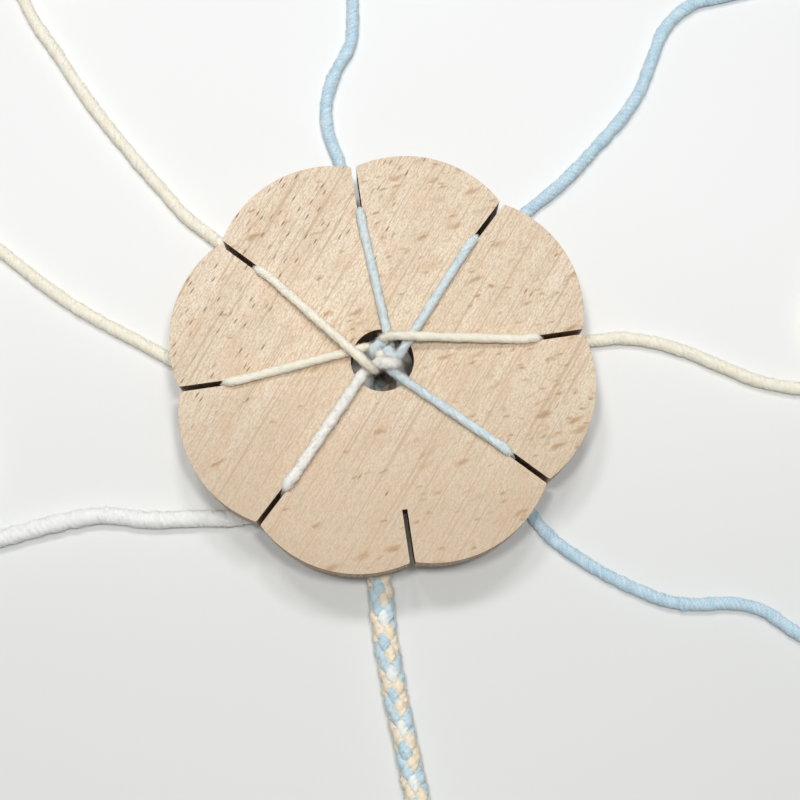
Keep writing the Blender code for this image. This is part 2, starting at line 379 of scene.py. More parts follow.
@dataclass(frozen=True)
class SpotLayer:
    """Lens-shaped spots in some of the cells of a grid that is stretched along one direction.

    Attributes:
        cell: the cells' size along the spots, across them and in depth, in millimetres.
        reach: where a spot starts to fade and where it ends, in cells from its middle.
        faintest: the strength of the faintest spot.
    """

    cell: tuple[float, float, float]
    reach: tuple[float, float]
    faintest: float = 0.3

    def mask(self, board: ShaderBoard, place: bpy.types.NodeSocket, angle: float,
             keep: bpy.types.NodeSocket) -> bpy.types.NodeSocket:
        """Where the spots lie.

        Args:
            board: the material's nodes.
            place: the place on the wood.
            angle: the direction of the spots' length, in degrees.
            keep: the share of cells that have a spot.

        Returns:
            A socket of 0 to 1.
        """
        cells = board.node("TexVoronoi", voronoi_dimensions="2D", feature="F1")
        cells.inputs["Scale"].default_value = 1.0
        cells.inputs["Randomness"].default_value = 1.0
        board.feed(cells.inputs["Vector"], board.laid(place, angle, self.cell))
        full, none = self.reach
        inside = board.step(cells.outputs["Distance"], none, full)
        chance = board.node("SeparateColor")
        board.feed(chance.inputs[0], cells.outputs["Color"])
        kept = board.math("LESS_THAN", chance.outputs[0], keep)
        strength = board.step(chance.outputs[1], 0.0, 1.0, self.faintest, 1.0)
        return board.product(inside, kept, strength)


@dataclass(frozen=True)
class BeechFinish:
    """Sanded bare beech whose sawn walls were cut by a laser and are toasted brown."""

    pale: Colour = srgb(240, 225, 203)
    warm: Colour = srgb(229, 212, 187)
    # Painted shade: the light's falloff towards the near side
    painted_falloff_shade: Colour = srgb(207, 188, 163)
    line: Colour = srgb(196, 170, 140)
    blush: Colour = srgb(218, 180, 149)
    pore: Colour = srgb(142, 108, 77)
    fleck: Colour = srgb(180, 145, 106)
    rim: Colour = srgb(182, 156, 130)
    wall: Colour = srgb(128, 98, 70)
    wall_dark: Colour = srgb(84, 60, 42)
    char: Colour = srgb(52, 40, 31)

    grain_angle: float = 60.0
    fine_angle: float = 62.0
    pore_angle: float = 57.0
    fleck_angle: float = 24.0
    small_fleck_angle: float = 18.0
    broad: GrainLayer = GrainLayer((55.0, 6.0, 6.0), (0.34, 0.68), 1.0, 3.0, 0.55, 0.5)
    blotches: GrainLayer = GrainLayer((11.0, 5.0, 5.0), (0.50, 0.72), 0.42, 3.0, 0.6)
    lines: GrainLayer = GrainLayer((38.0, 0.62, 0.62), (0.58, 0.635), 0.68, 2.0, 0.5, 0.25)
    fine: GrainLayer = GrainLayer((1.7, 0.34, 0.34), (0.42, 0.70), 0.62, 2.0, 0.7)
    grit: GrainLayer = GrainLayer((0.62, 0.42, 0.42), (0.42, 0.68), 0.50, 1.0)
    falloff_span: tuple[float, float] = (15.0 * MM, -42.0 * MM)
    falloff_share: float = 0.80

    large_flecks: SpotLayer = SpotLayer((7.2, 2.0, 2.0), (0.06, 0.44))
    small_flecks: SpotLayer = SpotLayer((3.4, 1.2, 1.2), (0.04, 0.40))
    fleck_spread: tuple[float, float, float, float] = (-30.0 * MM, 35.0 * MM, 0.03, 0.19)
    fleck_ragged: float = 1.9 * MM
    fleck_ragged_scale: float = 420.0
    fleck_speckle_scale: float = 2600.0
    pore_dashes: SpotLayer = SpotLayer((6.4, 1.25, 1.25), (0.03, 0.20))
    pore_spread: tuple[float, float, float, float] = (0.10, 0.34, 0.02, 0.66)
    pore_side: float = 140.0
    pore_unit: float = 100.0

    toasted_inside: tuple[float, float] = (0.62, 0.35)
    toasted_rim: tuple[float, float] = (0.992, 0.955)
    wall_cell: tuple[float, float, float] = (0.55, 0.55, 9.0)
    underside_dark_share: float = 0.75
    burnt_edge: tuple[float, float, float, float] = (TOP - 1.3 * MM, TOP - 0.3 * MM, 0.0, 0.8)
    roughness: float = 0.62
    gloss: float = 0.3
    relief: float = 0.16 * MM
    relief_strength: float = 0.8

    def material(self) -> bpy.types.Material:
        """Build the wood's material from its grain, pores, ray flecks and toasted walls.

        Returns:
            The material.
        """
        board = ShaderBoard("beech")
        place = board.node("TexCoord").outputs["Object"]
        face = self.face_colour(board, place)
        board.shade(Base_Color=self.walls(board, place, face), Roughness=self.roughness,
                    Specular_IOR_Level=self.gloss)
        return board.material

    def face_colour(self, board: ShaderBoard, place: bpy.types.NodeSocket) -> bpy.types.NodeSocket:
        """Colour of the sanded faces, whose bump is set here too.

        Args:
            board: the material's nodes.
            place: the place on the wood.

        Returns:
            The colour socket.
        """
        axes = board.axes(place)
        colour = self.broad.over(board, self.broad.grey(board, place, self.grain_angle), self.pale, self.warm)
        # Painted shade: the wood darker towards the near side, for the light's falloff
        lower = board.step(axes["Y"], *self.falloff_span)
        colour = board.mix(board.product(lower, self.falloff_share), colour, self.painted_falloff_shade)
        blotches = self.blotches.grey(board, place, self.grain_angle)
        colour = self.blotches.over(board, blotches, colour, self.blush)
        lines = self.lines.grey(board, place, self.grain_angle)
        colour = self.lines.over(board, lines, colour, self.line)
        fine = self.fine.grey(board, place, self.fine_angle)
        colour = self.fine.over(board, fine, colour, self.line)
        grit = self.grit.grey(board, place, self.grain_angle)
        colour = self.grit.over(board, grit, colour, self.line)

        colour = board.mix(self.flecks(board, place, axes), colour, self.fleck)
        pores = self.pores(board, place)
        colour = board.mix(pores, colour, self.pore)
        relief = board.math("SUBTRACT", board.product(grit, 0.5), board.product(pores, 0.5))
        height = board.math("ADD", relief, board.product(fine, 0.5))
        board.bump(height, self.relief_strength, self.relief)
        return colour

    def flecks(self, board: ShaderBoard, place: bpy.types.NodeSocket,
               axes: bpy.types.bpy_prop_collection) -> bpy.types.NodeSocket:
        """Soft tan ray flecks that lie across the grain, fewer at the upper left.

        Args:
            board: the material's nodes.
            place: the place on the wood.
            axes: its X, Y and Z sockets.

        Returns:
            A socket of 0 to 1.
        """
        ragged = board.node("VectorMath", operation="MULTIPLY_ADD")
        board.feed(ragged.inputs[0], board.noise(place, self.fleck_ragged_scale, 3.0, output="Color"))
        ragged.inputs[1].default_value = (self.fleck_ragged, self.fleck_ragged, 0.0)
        board.feed(ragged.inputs[2], place)
        keep = board.step(axes["X"], *self.fleck_spread)
        large = self.large_flecks.mask(board, ragged.outputs[0], self.fleck_angle, keep)
        small = self.small_flecks.mask(board, ragged.outputs[0], self.small_fleck_angle, keep)
        soft = board.step(board.noise(place, self.fleck_speckle_scale, 2.0, 0.6), 0.2, 0.6, 0.5, 1.0)
        return board.product(board.math("MAXIMUM", large, small), soft)

    def pores(self, board: ShaderBoard, place: bpy.types.NodeSocket) -> bpy.types.NodeSocket:
        """Thin brown pore dashes along the grain, dense at the upper left and left.

        Args:
            board: the material's nodes.
            place: the place on the wood.

        Returns:
            A socket of 0 to 1.
        """
        sideways = board.axes(board.laid(place, self.pore_side, (self.pore_unit,) * 3))["X"]
        keep = board.step(sideways, *self.pore_spread)
        return self.pore_dashes.mask(board, place, self.pore_angle, keep)

    def walls(self, board: ShaderBoard, place: bpy.types.NodeSocket,
              face: bpy.types.NodeSocket) -> bpy.types.NodeSocket:
        """Toasted colour of the walls of the rim, the slots and the hole.

        Args:
            board: the material's nodes.
            place: the place on the wood.
            face: the colour of the sanded faces.

        Returns:
            The colour of the whole piece.
        """
        normal = board.axes(board.node("NewGeometry").outputs["True Normal"])
        level = board.math("ABSOLUTE", normal["Z"])
        axes = board.axes(place)
        rim = board.step(board.off_axis(axes), MOUTH_RADIUS - 1.0 * MM, MOUTH_RADIUS + 0.1 * MM)
        inner = board.product(board.step(level, *self.toasted_inside), board.math("SUBTRACT", 1.0, rim))
        outer = board.product(board.step(level, *self.toasted_rim), rim)
        toasted = board.math("ADD", inner, outer)

        streaks = board.noise(board.laid(place, 0.0, self.wall_cell), 1.0, 3.0, 0.65)
        wall = board.mix(board.step(streaks, 0.35, 0.7), self.wall, self.wall_dark)
        # The walls turn darker towards the underside
        deep = board.product(board.step(axes["Z"], 2.0 * MM, UNDERSIDE), self.underside_dark_share)
        wall = board.mix(deep, wall, self.char)
        band = board.mix(board.step(streaks, 0.35, 0.8), self.rim, self.wall)
        near_face = board.step(board.math("ABSOLUTE", axes["Z"]), *self.burnt_edge)
        band = board.mix(near_face, band, self.wall_dark)
        return board.mix(toasted, face, board.mix(rim, wall, band))


@dataclass(frozen=True)
class YarnFinish:
    """Soft matt spun yarn, finely ribbed where it lies loose."""

    name: str
    light: Colour
    body: Colour
    shade: Colour
    # Painted warm bounce light from the wood, on the yarn where it is taut over the disk
    wood_bounce_tint: Colour = srgb(246, 235, 215)
    # Painted shade on the yarn deep in the hole
    hole_shade_colour: Colour = srgb(98, 85, 70)
    streak_scale: float = 3600.0
    streak_share: float = 0.60
    patch_scale: float = 420.0
    hollow_shade_share: float = 0.35
    wood_bounce_share: float = 0.30
    rib_spacing: float = 0.42 * MM
    ribs_around: float = 5.0
    rib_shade: float = 0.55
    rib_wander: float = 9.0
    rib_wander_scale: float = 900.0
    rib_break_scale: float = 1500.0
    # How strong the painted shade on the yarn in the hole is
    hole_shade_strength: float = 0.78
    roughness: float = 0.95
    gloss: float = 0.1
    sheen: float = 0.30
    sheen_roughness: float = 0.5
    glow: float = 0.6
    glow_reach: float = 1.3 * MM
    relief: float = 0.13 * MM

    def material(self) -> bpy.types.Material:
        """Build the yarn's material from the fibres' streaks, the ribs and the hollows between the plies,
        with painted shade and painted bounce light.

        Returns:
            The material.
        """
        board = ShaderBoard(self.name)
        fibre = board.node("Attribute", attribute_name="fibre").outputs["Vector"]
        hollow = board.node("Attribute", attribute_name="hollow").outputs["Fac"]
        slack = board.node("Attribute", attribute_name="slack").outputs["Fac"]
        place = board.node("TexCoord").outputs["Object"]
        streaks = board.noise(fibre, self.streak_scale, 3.0, 0.65)
        patches = board.noise(place, self.patch_scale)
        colour = board.mix(board.step(patches, 0.35, 0.7), self.light, self.body)
        colour = board.mix(board.step(streaks, 0.43, 0.74, 0.0, self.streak_share), colour, self.shade)
        # Painted shade in the hollows between the plies
        colour = board.mix(board.product(hollow, self.hollow_shade_share), colour, self.shade)
        ribs = board.product(self.ribs(board, fibre), slack)
        # Painted shade between the ribs of loose yarn
        colour = board.mix(board.product(ribs, self.rib_shade), colour, self.shade)
        # Painted warm bounce light from the wood where the yarn is taut
        colour = board.mix(board.step(slack, 0.5, 0.0, 0.0, self.wood_bounce_share), colour, self.wood_bounce_tint)
        # Painted shade on the yarn deep in the hole
        colour = board.mix(self.painted_hole_shade(board, place), colour, self.hole_shade_colour)
        board.shade(Base_Color=colour, Roughness=self.roughness, Specular_IOR_Level=self.gloss,
                    Sheen_Weight=self.sheen, Sheen_Roughness=self.sheen_roughness,
                    Subsurface_Weight=self.glow, Subsurface_Radius=(1.0, 1.0, 1.0),
                    Subsurface_Scale=self.glow_reach)
        board.bump(board.math("SUBTRACT", streaks, board.product(ribs, 0.5)), 0.5, self.relief)
        return board.material

    def ribs(self, board: ShaderBoard, fibre: bpy.types.NodeSocket) -> bpy.types.NodeSocket:
        """The short ribs that run steeply round a loose yarn.

        Args:
            board: the material's nodes.
            fibre: the place in the yarn's own axes.

        Returns:
            A socket of 0 on a rib to 1 between two ribs.
        """
        axes = board.axes(fibre)
        round_yarn = board.product(board.math("ARCTAN2", axes["Y"], axes["X"]), self.ribs_around)
        along = board.product(axes["Z"], math.tau / (self.rib_spacing * FIBRE_STRETCH))
        wander = board.product(board.noise(fibre, self.rib_wander_scale, 2.0, 0.6), self.rib_wander)
        wave = board.math("SINE", board.math("ADD", board.math("ADD", round_yarn, along), wander))
        strength = board.step(board.noise(fibre, self.rib_break_scale, 2.0, 0.6), 0.35, 0.65)
        return board.product(board.step(wave, -0.6, 0.9), strength)

    def painted_hole_shade(self, board: ShaderBoard, place: bpy.types.NodeSocket) -> bpy.types.NodeSocket:
        """How much painted shade darkens the yarn inside the hole, most deep in the hole.

        Args:
            board: the material's nodes.
            place: the place on the yarn.

        Returns:
            A socket of 0 to 1.
        """
        axes = board.axes(place)
        inside = board.step(board.off_axis(axes), HOLE_RADIUS + 2.0 * MM, HOLE_RADIUS - 0.5 * MM)
        deep = board.step(axes["Z"], TOP - 0.5 * MM, TOP - 5.0 * MM)
        above = board.step(axes["Z"], UNDERSIDE - 3.0 * MM, UNDERSIDE)
        return board.product(inside, deep, above, self.hole_shade_strength)


class YarnColour(Enum):
    """The three yarns."""

    BLUE = YarnFinish("blue_yarn", srgb(220, 239, 247), srgb(200, 226, 239), srgb(160, 194, 216))
    CREAM = YarnFinish("cream_yarn", srgb(255, 251, 237), srgb(255, 245, 226), srgb(245, 229, 205),
                       rib_shade=0.35)
    WHITE = YarnFinish("white_yarn", srgb(255, 255, 252), srgb(253, 255, 249), srgb(241, 244, 236),
                       rib_shade=0.35)


YARN_ORDER = list(YarnColour)

# The yarns in the braid, whose strands cross each other, so they have no glow
BRAIDED_FINISHES = {
    YarnColour.BLUE: YarnFinish(
        "braided_blue", srgb(220, 237, 242), srgb(200, 224, 234), srgb(170, 203, 219), glow=0.0),
    YarnColour.CREAM: YarnFinish(
        "braided_cream", srgb(255, 245, 223), srgb(253, 238, 211), srgb(240, 218, 184), glow=0.0),
    YarnColour.WHITE: YarnFinish(
        "braided_white", srgb(252, 254, 250), srgb(246, 249, 243), srgb(228, 233, 227), glow=0.0),
}


@dataclass(frozen=True)
class TableFinish:
    """The pale table, near white at the far side and a light grey at the near side: a painted falloff of the
    light.

    Far from the disk it fades into the backdrop, for the eye alone.
    """

    far: Colour = srgb(243, 244, 243)
    near: Colour = srgb(230, 231, 229)
    far_edge: float = 50.0 * MM
    near_edge: float = -75.0 * MM
    unlit: Colour = (0.0, 0.0, 0.0, 1.0)
    fade: tuple[float, float] = (170.0 * MM, 620.0 * MM)
    roughness: float = 0.7

    def material(self) -> bpy.types.Material:
        """Build the table's material.

        Returns:
            The material.
        """
        board = ShaderBoard("pale_table")
        place = board.node("TexCoord").outputs["Object"]
        # Painted shade: darker towards the near side, for the light's falloff
        ahead = board.step(board.axes(place)["Y"], self.near_edge, self.far_edge)
        faded = board.product(board.step(board.length(place), *self.fade), backdrop_rays(board.tree))
        colour = board.mix(faded, board.mix(ahead, self.near, self.far), self.unlit)
        board.shade(Base_Color=colour, Roughness=self.roughness, Specular_IOR_Level=0.0,
                    Emission_Color=(1.0, 1.0, 1.0, 1.0), Emission_Strength=board.product(faded, BACKDROP))
        return board.material


@dataclass
class MeshStock:
    """Corners, faces and finish values that grow into one mesh."""

    corners: list[Array] = field(default_factory=list)
    quads: list[Array] = field(default_factory=list)
    triangles: list[Array] = field(default_factory=list)
    quad_slots: list[Array] = field(default_factory=list)
    triangle_slots: list[Array] = field(default_factory=list)
    fibre: list[Array] = field(default_factory=list)
    hollow: list[Array] = field(default_factory=list)
    slack: list[Array] = field(default_factory=list)
    count: int = 0

    def add(self, corners: Array, quads: Array, triangles: Array, fibre: Array, hollow: Array, slack: Array,
            slot: int = 0) -> None:
        """Take in a group of corners and the faces between them.

        Args:
            corners: places, one row each.
            quads: four corner numbers in a row.
            triangles: three corner numbers in a row.
            fibre: the place in the yarn's own axes, one row for each corner.
            hollow: how deep between two plies a corner is, 0 to 1.
            slack: how loose the yarn is at a corner, 0 to 1.
            slot: the material slot of the faces.
        """
        self.corners.append(corners)
        self.quads.append(quads.reshape(-1, 4) + self.count)
        self.triangles.append(triangles.reshape(-1, 3) + self.count)
        self.quad_slots.append(np.full(len(self.quads[-1]), slot))
        self.triangle_slots.append(np.full(len(self.triangles[-1]), slot))
        self.fibre.append(fibre)
        self.hollow.append(hollow)
        self.slack.append(slack)
        self.count += len(corners)

    def mesh(self, name: str) -> bpy.types.Mesh:
        """Write the stock into a smooth-shaded mesh.

        Args:
            name: the mesh's name.

        Returns:
            The mesh.
        """
        quads = np.concatenate(self.quads)
        triangles = np.concatenate(self.triangles)
        mesh = bpy.data.meshes.new(name)
        mesh.vertices.add(self.count)
        mesh.vertices.foreach_set("co", np.concatenate(self.corners).astype(np.float32).ravel())
        loops = np.concatenate([quads.ravel(), triangles.ravel()])
        mesh.loops.add(len(loops))
        mesh.loops.foreach_set("vertex_index", loops.astype(np.int32))
        starts = np.concatenate([np.arange(len(quads)) * 4, len(quads) * 4 + np.arange(len(triangles)) * 3])
        mesh.polygons.add(len(starts))
        mesh.polygons.foreach_set("loop_start", starts.astype(np.int32))
        slots = np.concatenate(self.quad_slots + self.triangle_slots)
        mesh.polygons.foreach_set("material_index", slots.astype(np.int32))
        mesh.update(calc_edges=True)
        mesh.shade_smooth()
        fibre = mesh.attributes.new("fibre", "FLOAT_VECTOR", "POINT")
        fibre.data.foreach_set("vector", np.concatenate(self.fibre).astype(np.float32).ravel())
        for name, values in (("hollow", self.hollow), ("slack", self.slack)):
            attribute = mesh.attributes.new(name, "FLOAT", "POINT")
            attribute.data.foreach_set("value", np.concatenate(values).astype(np.float32))
        return mesh


@dataclass
class Bead:
    """One control of a yarn's line.

    Attributes:
        place: where it is.
        radius: the yarn's radius there.
        wide: the section's factor across a slot.
        deep: the section's factor along a slot.
    """

    place: Vector
    radius: float
    wide: float = 1.0
    deep: float = 1.0


@dataclass
class YarnLine:
    """A dense centreline with the yarn's radius and pressing at each point."""

    points: Array
    radii: Array
    wide: Array
    deep: Array

    @classmethod
    def through(cls, beads: list[Bead], spacing: float) -> "YarnLine":
        """Draw a smooth line through the controls.

        Args:
            beads: the controls, in order.
            spacing: the step between two points, in metres.

        Returns:
            The line.
        """
        rows = []
        last = len(beads) - 1
        for index in range(last):
            before = beads[max(index - 1, 0)].place
            start = beads[index]
            end = beads[index + 1]
            after = beads[min(index + 2, last)].place
            span = (end.place - start.place).length
            start_pull = cls.slope(before, start.place, end.place) * span
            end_pull = cls.slope(start.place, end.place, after) * span
            steps = max(1, round(span / spacing))
            for step in range(steps):
                t = step / steps
                place = (start.place * (2 * t ** 3 - 3 * t ** 2 + 1) + start_pull * (t ** 3 - 2 * t ** 2 + t)
                         + end.place * (3 * t ** 2 - 2 * t ** 3) + end_pull * (t ** 3 - t ** 2))
                ease = t * t * (3 - 2 * t)
                values = [a + (b - a) * ease for a, b in ((start.radius, end.radius), (start.wide, end.wide),
                                                          (start.deep, end.deep))]
                rows.append((*place, *values))
        rows.append((*beads[last].place, beads[last].radius, beads[last].wide, beads[last].deep))
        table = np.array(rows)
        return cls(table[:, :3], table[:, 3], table[:, 4], table[:, 5])

    @staticmethod
    def slope(before: Vector, middle: Vector, after: Vector) -> Vector:
        """Return the line's direction at a control, from its two neighbours.

        Args:
            before: the control before.
            middle: the control.
            after: the control after.
        """
        back = (middle - before).length
        ahead = (after - middle).length
        if back == 0.0:
            return (after - middle) / ahead
        if ahead == 0.0:
            return (middle - before) / back
        return ((middle - before) / back * ahead + (after - middle) / ahead * back) / (back + ahead)

    def steps(self) -> Array:
        """Return the distance along the line of each point."""
        lengths = np.linalg.norm(np.diff(self.points, axis=0), axis=1)
        return np.concatenate([[0.0], np.cumsum(lengths)])

    def length(self) -> float:
        """Return the line's whole length."""
        return float(self.steps()[-1])

    def frames(self, first: Vector) -> tuple[Array, Array, Array]:
        """Carry a cross direction along the line without twist.

        Args:
            first: the cross direction that the line starts with.

        Returns:
            Tangents, cross directions, and the directions across both.
        """
        tangents = np.gradient(self.points, axis=0)
        tangents /= np.linalg.norm(tangents, axis=1)[:, None]
        normals = np.empty_like(tangents)
        current = np.array(first, float)
        for index, tangent in enumerate(tangents):
            current = current - tangent * float(current @ tangent)
            current /= np.linalg.norm(current)
            normals[index] = current
        return tangents, normals, np.cross(tangents, normals)


@dataclass(frozen=True)
class YarnBuild:
    """How a yarn is spun: plies that turn round each other, with loose fibres on them."""

    plies: int = 4
    corners_per_ply: int = 5
    loose_twist: float = 5.0 * MM
    taut_twist: float = 9.0 * MM
    ply_depth: float = 0.07
    lumps: float = 0.07
    lump_length: float = 1.7 * MM
    frizz: float = 0.055
    fibres_per_mm: float = 20.0
    fibre_length: float = 0.62 * MM
    fibre_radius: float = 0.04 * MM
    head_fibres: int = 900
    head_reach: float = 11.0 * MM
    head_fibre_length: float = 1.0 * MM
    head_bias: float = 1.5
    fibre_reach: tuple[float, float] = (0.4, 1.3)
    fibre_lean: tuple[float, float] = (0.2, 1.1)
    fibre_rise: tuple[float, float] = (0.15, 0.8)
    fibre_swerve: float = 0.7
    twist_drift: float = 0.5
    twist_drift_length: float = 9.0 * MM
    soft_length: float = 5.0 * MM
    taut_flatter: float = 0.35
    end_reach: float = 0.4

    def spin(self, stock: MeshStock, line: YarnLine, taut: Array | float, seed: int, slot: int = 0,
             press: Vector = UP, fluffy_head: bool = False) -> None:
        """Add the yarn's plies and fibres along a line.

        Args:
            stock: the mesh stock that takes them.
            line: the yarn's centreline.
            taut: 1 where the yarn is stretched and 0 where it lies loose, for each point or for all.
            seed: the start of this yarn's random draws.
            slot: the material slot.
            press: the flat direction across a slot that the line's wide values apply to.
            fluffy_head: whether the yarn's first millimetres are rubbed fluffy.
        """
        random = np.random.default_rng(seed)
        taut = np.broadcast_to(taut, len(line.points))
        along = line.steps()
        tangents, normals, sides = line.frames(Vector((0.31, 0.17, 0.94)))
        pitch = self.loose_twist + (self.taut_twist - self.loose_twist) * taut
        turned = np.concatenate([[0.0], np.cumsum(np.diff(along) / pitch[1:])]) * math.tau
        turned += self.twist_drift * self.ripple(along, self.twist_drift_length, random)
        around = self.plies * self.corners_per_ply
        own = math.tau * np.arange(around) / around
        ridge = np.abs(np.cos(self.plies * own / 2))
        lump = 1.0 + self.lumps * self.ripple(along, self.lump_length, random)
        softness = 0.75 + 0.25 * self.ripple(along, self.soft_length, random)

        angle = own[None, :] + turned[:, None]
        flatter = 1.0 - self.taut_flatter * taut[:, None]
        depth = self.ply_depth * np.clip(softness, 0.3, 1.2)[:, None] * flatter
        profile = (1.0 - depth * (1.0 - ridge[None, :] ** 0.7)) * lump[:, None]
        frizz = random.normal(0.0, self.frizz, profile.shape)
        profile = profile + (frizz + 0.5 * np.roll(frizz, 1, axis=1) + 0.5 * np.roll(frizz, 1, axis=0)) / 1.2
        reach = line.radii[:, None] * profile
        offsets = reach[:, :, None] * (np.cos(angle)[:, :, None] * normals[:, None, :]
                                       + np.sin(angle)[:, :, None] * sides[:, None, :])
        offsets = self.pressed(offsets, line, tangents, np.array(press, float))
        corners = self.above_table(line.points[:, None, :] + offsets)

        rows = len(line.points)
        grid = np.arange(rows * around).reshape(rows, around)
        ahead = np.roll(grid, -1, axis=1)
        quads = np.stack([grid[:-1], ahead[:-1], ahead[1:], grid[1:]], axis=-1).reshape(-1, 4)
        ends = np.array([line.points[0] - tangents[0] * line.radii[0] * self.end_reach,
                         line.points[-1] + tangents[-1] * line.radii[-1] * self.end_reach])
        first, last = rows * around, rows * around + 1
        caps = [np.stack([ahead[0], grid[0], np.full(around, first)], axis=-1),
                np.stack([grid[-1], ahead[-1], np.full(around, last)], axis=-1)]
        size = float(line.radii.max())
        own_axes = (np.cos(own) * size, np.sin(own) * size, along[:, None] * FIBRE_STRETCH)
        fibre = np.stack([np.broadcast_to(values, (rows, around)) for values in own_axes], axis=-1)
        hollow = np.broadcast_to((1.0 - ridge[None, :]) ** 1.5, (rows, around)).reshape(-1)
        slack = np.repeat(1.0 - taut, around)
        stock.add(np.concatenate([corners.reshape(-1, 3), ends]), quads, np.concatenate(caps),
                  np.concatenate([fibre.reshape(-1, 3), np.zeros((2, 3))]),
                  np.concatenate([hollow, np.zeros(2)]), np.concatenate([slack, np.zeros(2)]), slot)
        count = int(along[-1] / MM * self.fibres_per_mm)
        self.add_fibres(stock, corners, offsets, tangents, count, self.fibre_length, random, slot)
        if fluffy_head:
            head = int(np.searchsorted(along, self.head_reach))
            self.add_fibres(stock, corners[:head], offsets[:head], tangents[:head], self.head_fibres,
                            self.head_fibre_length, random, slot)

    @staticmethod
    def pressed(offsets: Array, line: YarnLine, tangents: Array, press: Array) -> Array:
        """Narrow the section across a slot and lengthen it along the slot.

        Args:
            offsets: from the centreline to each corner.
            line: the line, with its wide and deep factors.
            tangents: the line's directions.
            press: the direction across the slot.

        Returns:
            The new offsets.
        """
        across = np.broadcast_to(press, tangents.shape)
        along_slot = np.cross(tangents, across)
        along_slot /= np.maximum(np.linalg.norm(along_slot, axis=1), 1e-6)[:, None]
        for direction, factor in ((across, line.wide), (along_slot, line.deep)):
            share = np.einsum("ijk,ik->ij", offsets, direction)
            offsets = offsets + ((factor - 1.0)[:, None] * share)[:, :, None] * direction[:, None, :]
        return offsets

    @staticmethod
    def above_table(places: Array, clearance: float = 0.03 * MM) -> Array:
        """Lift the places that lie in the table to just above it.

        Args:
            places: the places, with x, y and z along the last axis.
            clearance: how far above the table they stay.

        Returns:
            The places, none of them in the table.
        """
        places[..., 2] = np.maximum(places[..., 2], GROUND + clearance)
        return places

    @staticmethod
    def ripple(along: Array, length: float, random: np.random.Generator) -> Array:
        """Smooth random values of about -1 to 1 along a line.

        Args:
            along: the distances along the line.
            length: the usual length of a ripple.
            random: the source of the draws.

        Returns:
            A value for each distance.
        """
        knots = random.uniform(-1.0, 1.0, max(4, int(along[-1] / length) + 4))
        spot = along / length
        low = np.floor(spot).astype(int)
        share = spot - low
        ease = share * share * (3 - 2 * share)
        return knots[low] * (1 - ease) + knots[low + 1] * ease

    def add_fibres(self, stock: MeshStock, corners: Array, offsets: Array, tangents: Array, count: int,
                   fibre_length: float, random: np.random.Generator, slot: int) -> None:
        """Add the fine loose fibres that stand off the yarn.

        Args:
            stock: the mesh stock that takes them.
            corners: the yarn's corners, by row and place in the row.
            offsets: from the centreline to each corner.
            tangents: the line's directions.
            count: how many fibres.
            fibre_length: their usual length.
            random: the source of the draws.
            slot: the material slot.
        """
        rows = 1 + (random.random(count) ** self.head_bias * (corners.shape[0] - 2)).astype(int)
        columns = random.integers(0, corners.shape[1], count)
        root = corners[rows, columns]
        outward = offsets[rows, columns]
        outward = outward / np.linalg.norm(outward, axis=1)[:, None]
        forward = tangents[rows] * random.choice([-1.0, 1.0], count)[:, None]
        sideways = np.cross(outward, forward) * random.normal(0.0, self.fibre_swerve, count)[:, None]
        reach = fibre_length * random.uniform(*self.fibre_reach, count)[:, None]
        lean = random.uniform(*self.fibre_lean, count)[:, None]
        rise = random.uniform(*self.fibre_rise, count)[:, None]
        tip = root + (outward * rise + forward * lean + sideways) * reach
        root = root - outward * self.fibre_radius
        ring_one = np.cross(forward, outward)
        ring_one /= np.maximum(np.linalg.norm(ring_one, axis=1), 1e-9)[:, None]
        ring_two = np.cross(ring_one, forward + outward)
        ring_two /= np.maximum(np.linalg.norm(ring_two, axis=1), 1e-9)[:, None]
        places = []
        for step in range(3):
            turn = math.tau * step / 3
            places.append(root + (ring_one * math.cos(turn) + ring_two * math.sin(turn)) * self.fibre_radius)
        places.append(tip)
        grown = self.above_table(np.stack(places, axis=1))
        base = (np.arange(count) * 4)[:, None]
        triangles = [base + np.array(face) for face in ((0, 1, 3), (1, 2, 3), (2, 0, 3), (2, 1, 0))]
        stock.add(grown.reshape(-1, 3), np.empty((0, 4), int), np.stack(triangles, axis=1).reshape(-1, 3),
                  np.zeros((count * 4, 3)), np.zeros(count * 4), np.zeros(count * 4), slot)


YARN_BUILD = YarnBuild()
WHITE_BUILD = YarnBuild(loose_twist=6.0 * MM, ply_depth=0.08, lumps=0.08, lump_length=1.6 * MM,
                        fibres_per_mm=26.0, fibre_length=0.85 * MM)
TIE_BUILD = YarnBuild(plies=2, corners_per_ply=6, loose_twist=1.8 * MM, fibres_per_mm=2.0,
                      fibre_length=0.4 * MM)
BRAID_BUILD = YarnBuild(corners_per_ply=4, loose_twist=4.0 * MM, taut_twist=5.0 * MM, ply_depth=0.05,
                        lumps=0.12, frizz=0.07, fibres_per_mm=18.0, fibre_length=1.05 * MM,
                        fibre_radius=0.045 * MM, head_bias=1.0)
HEART_BUILD = YarnBuild(plies=7, corners_per_ply=3, ply_depth=0.03, lumps=0.03, fibres_per_mm=10.0,
                        fibre_length=1.1 * MM, fibre_radius=0.035 * MM, head_bias=1.0)


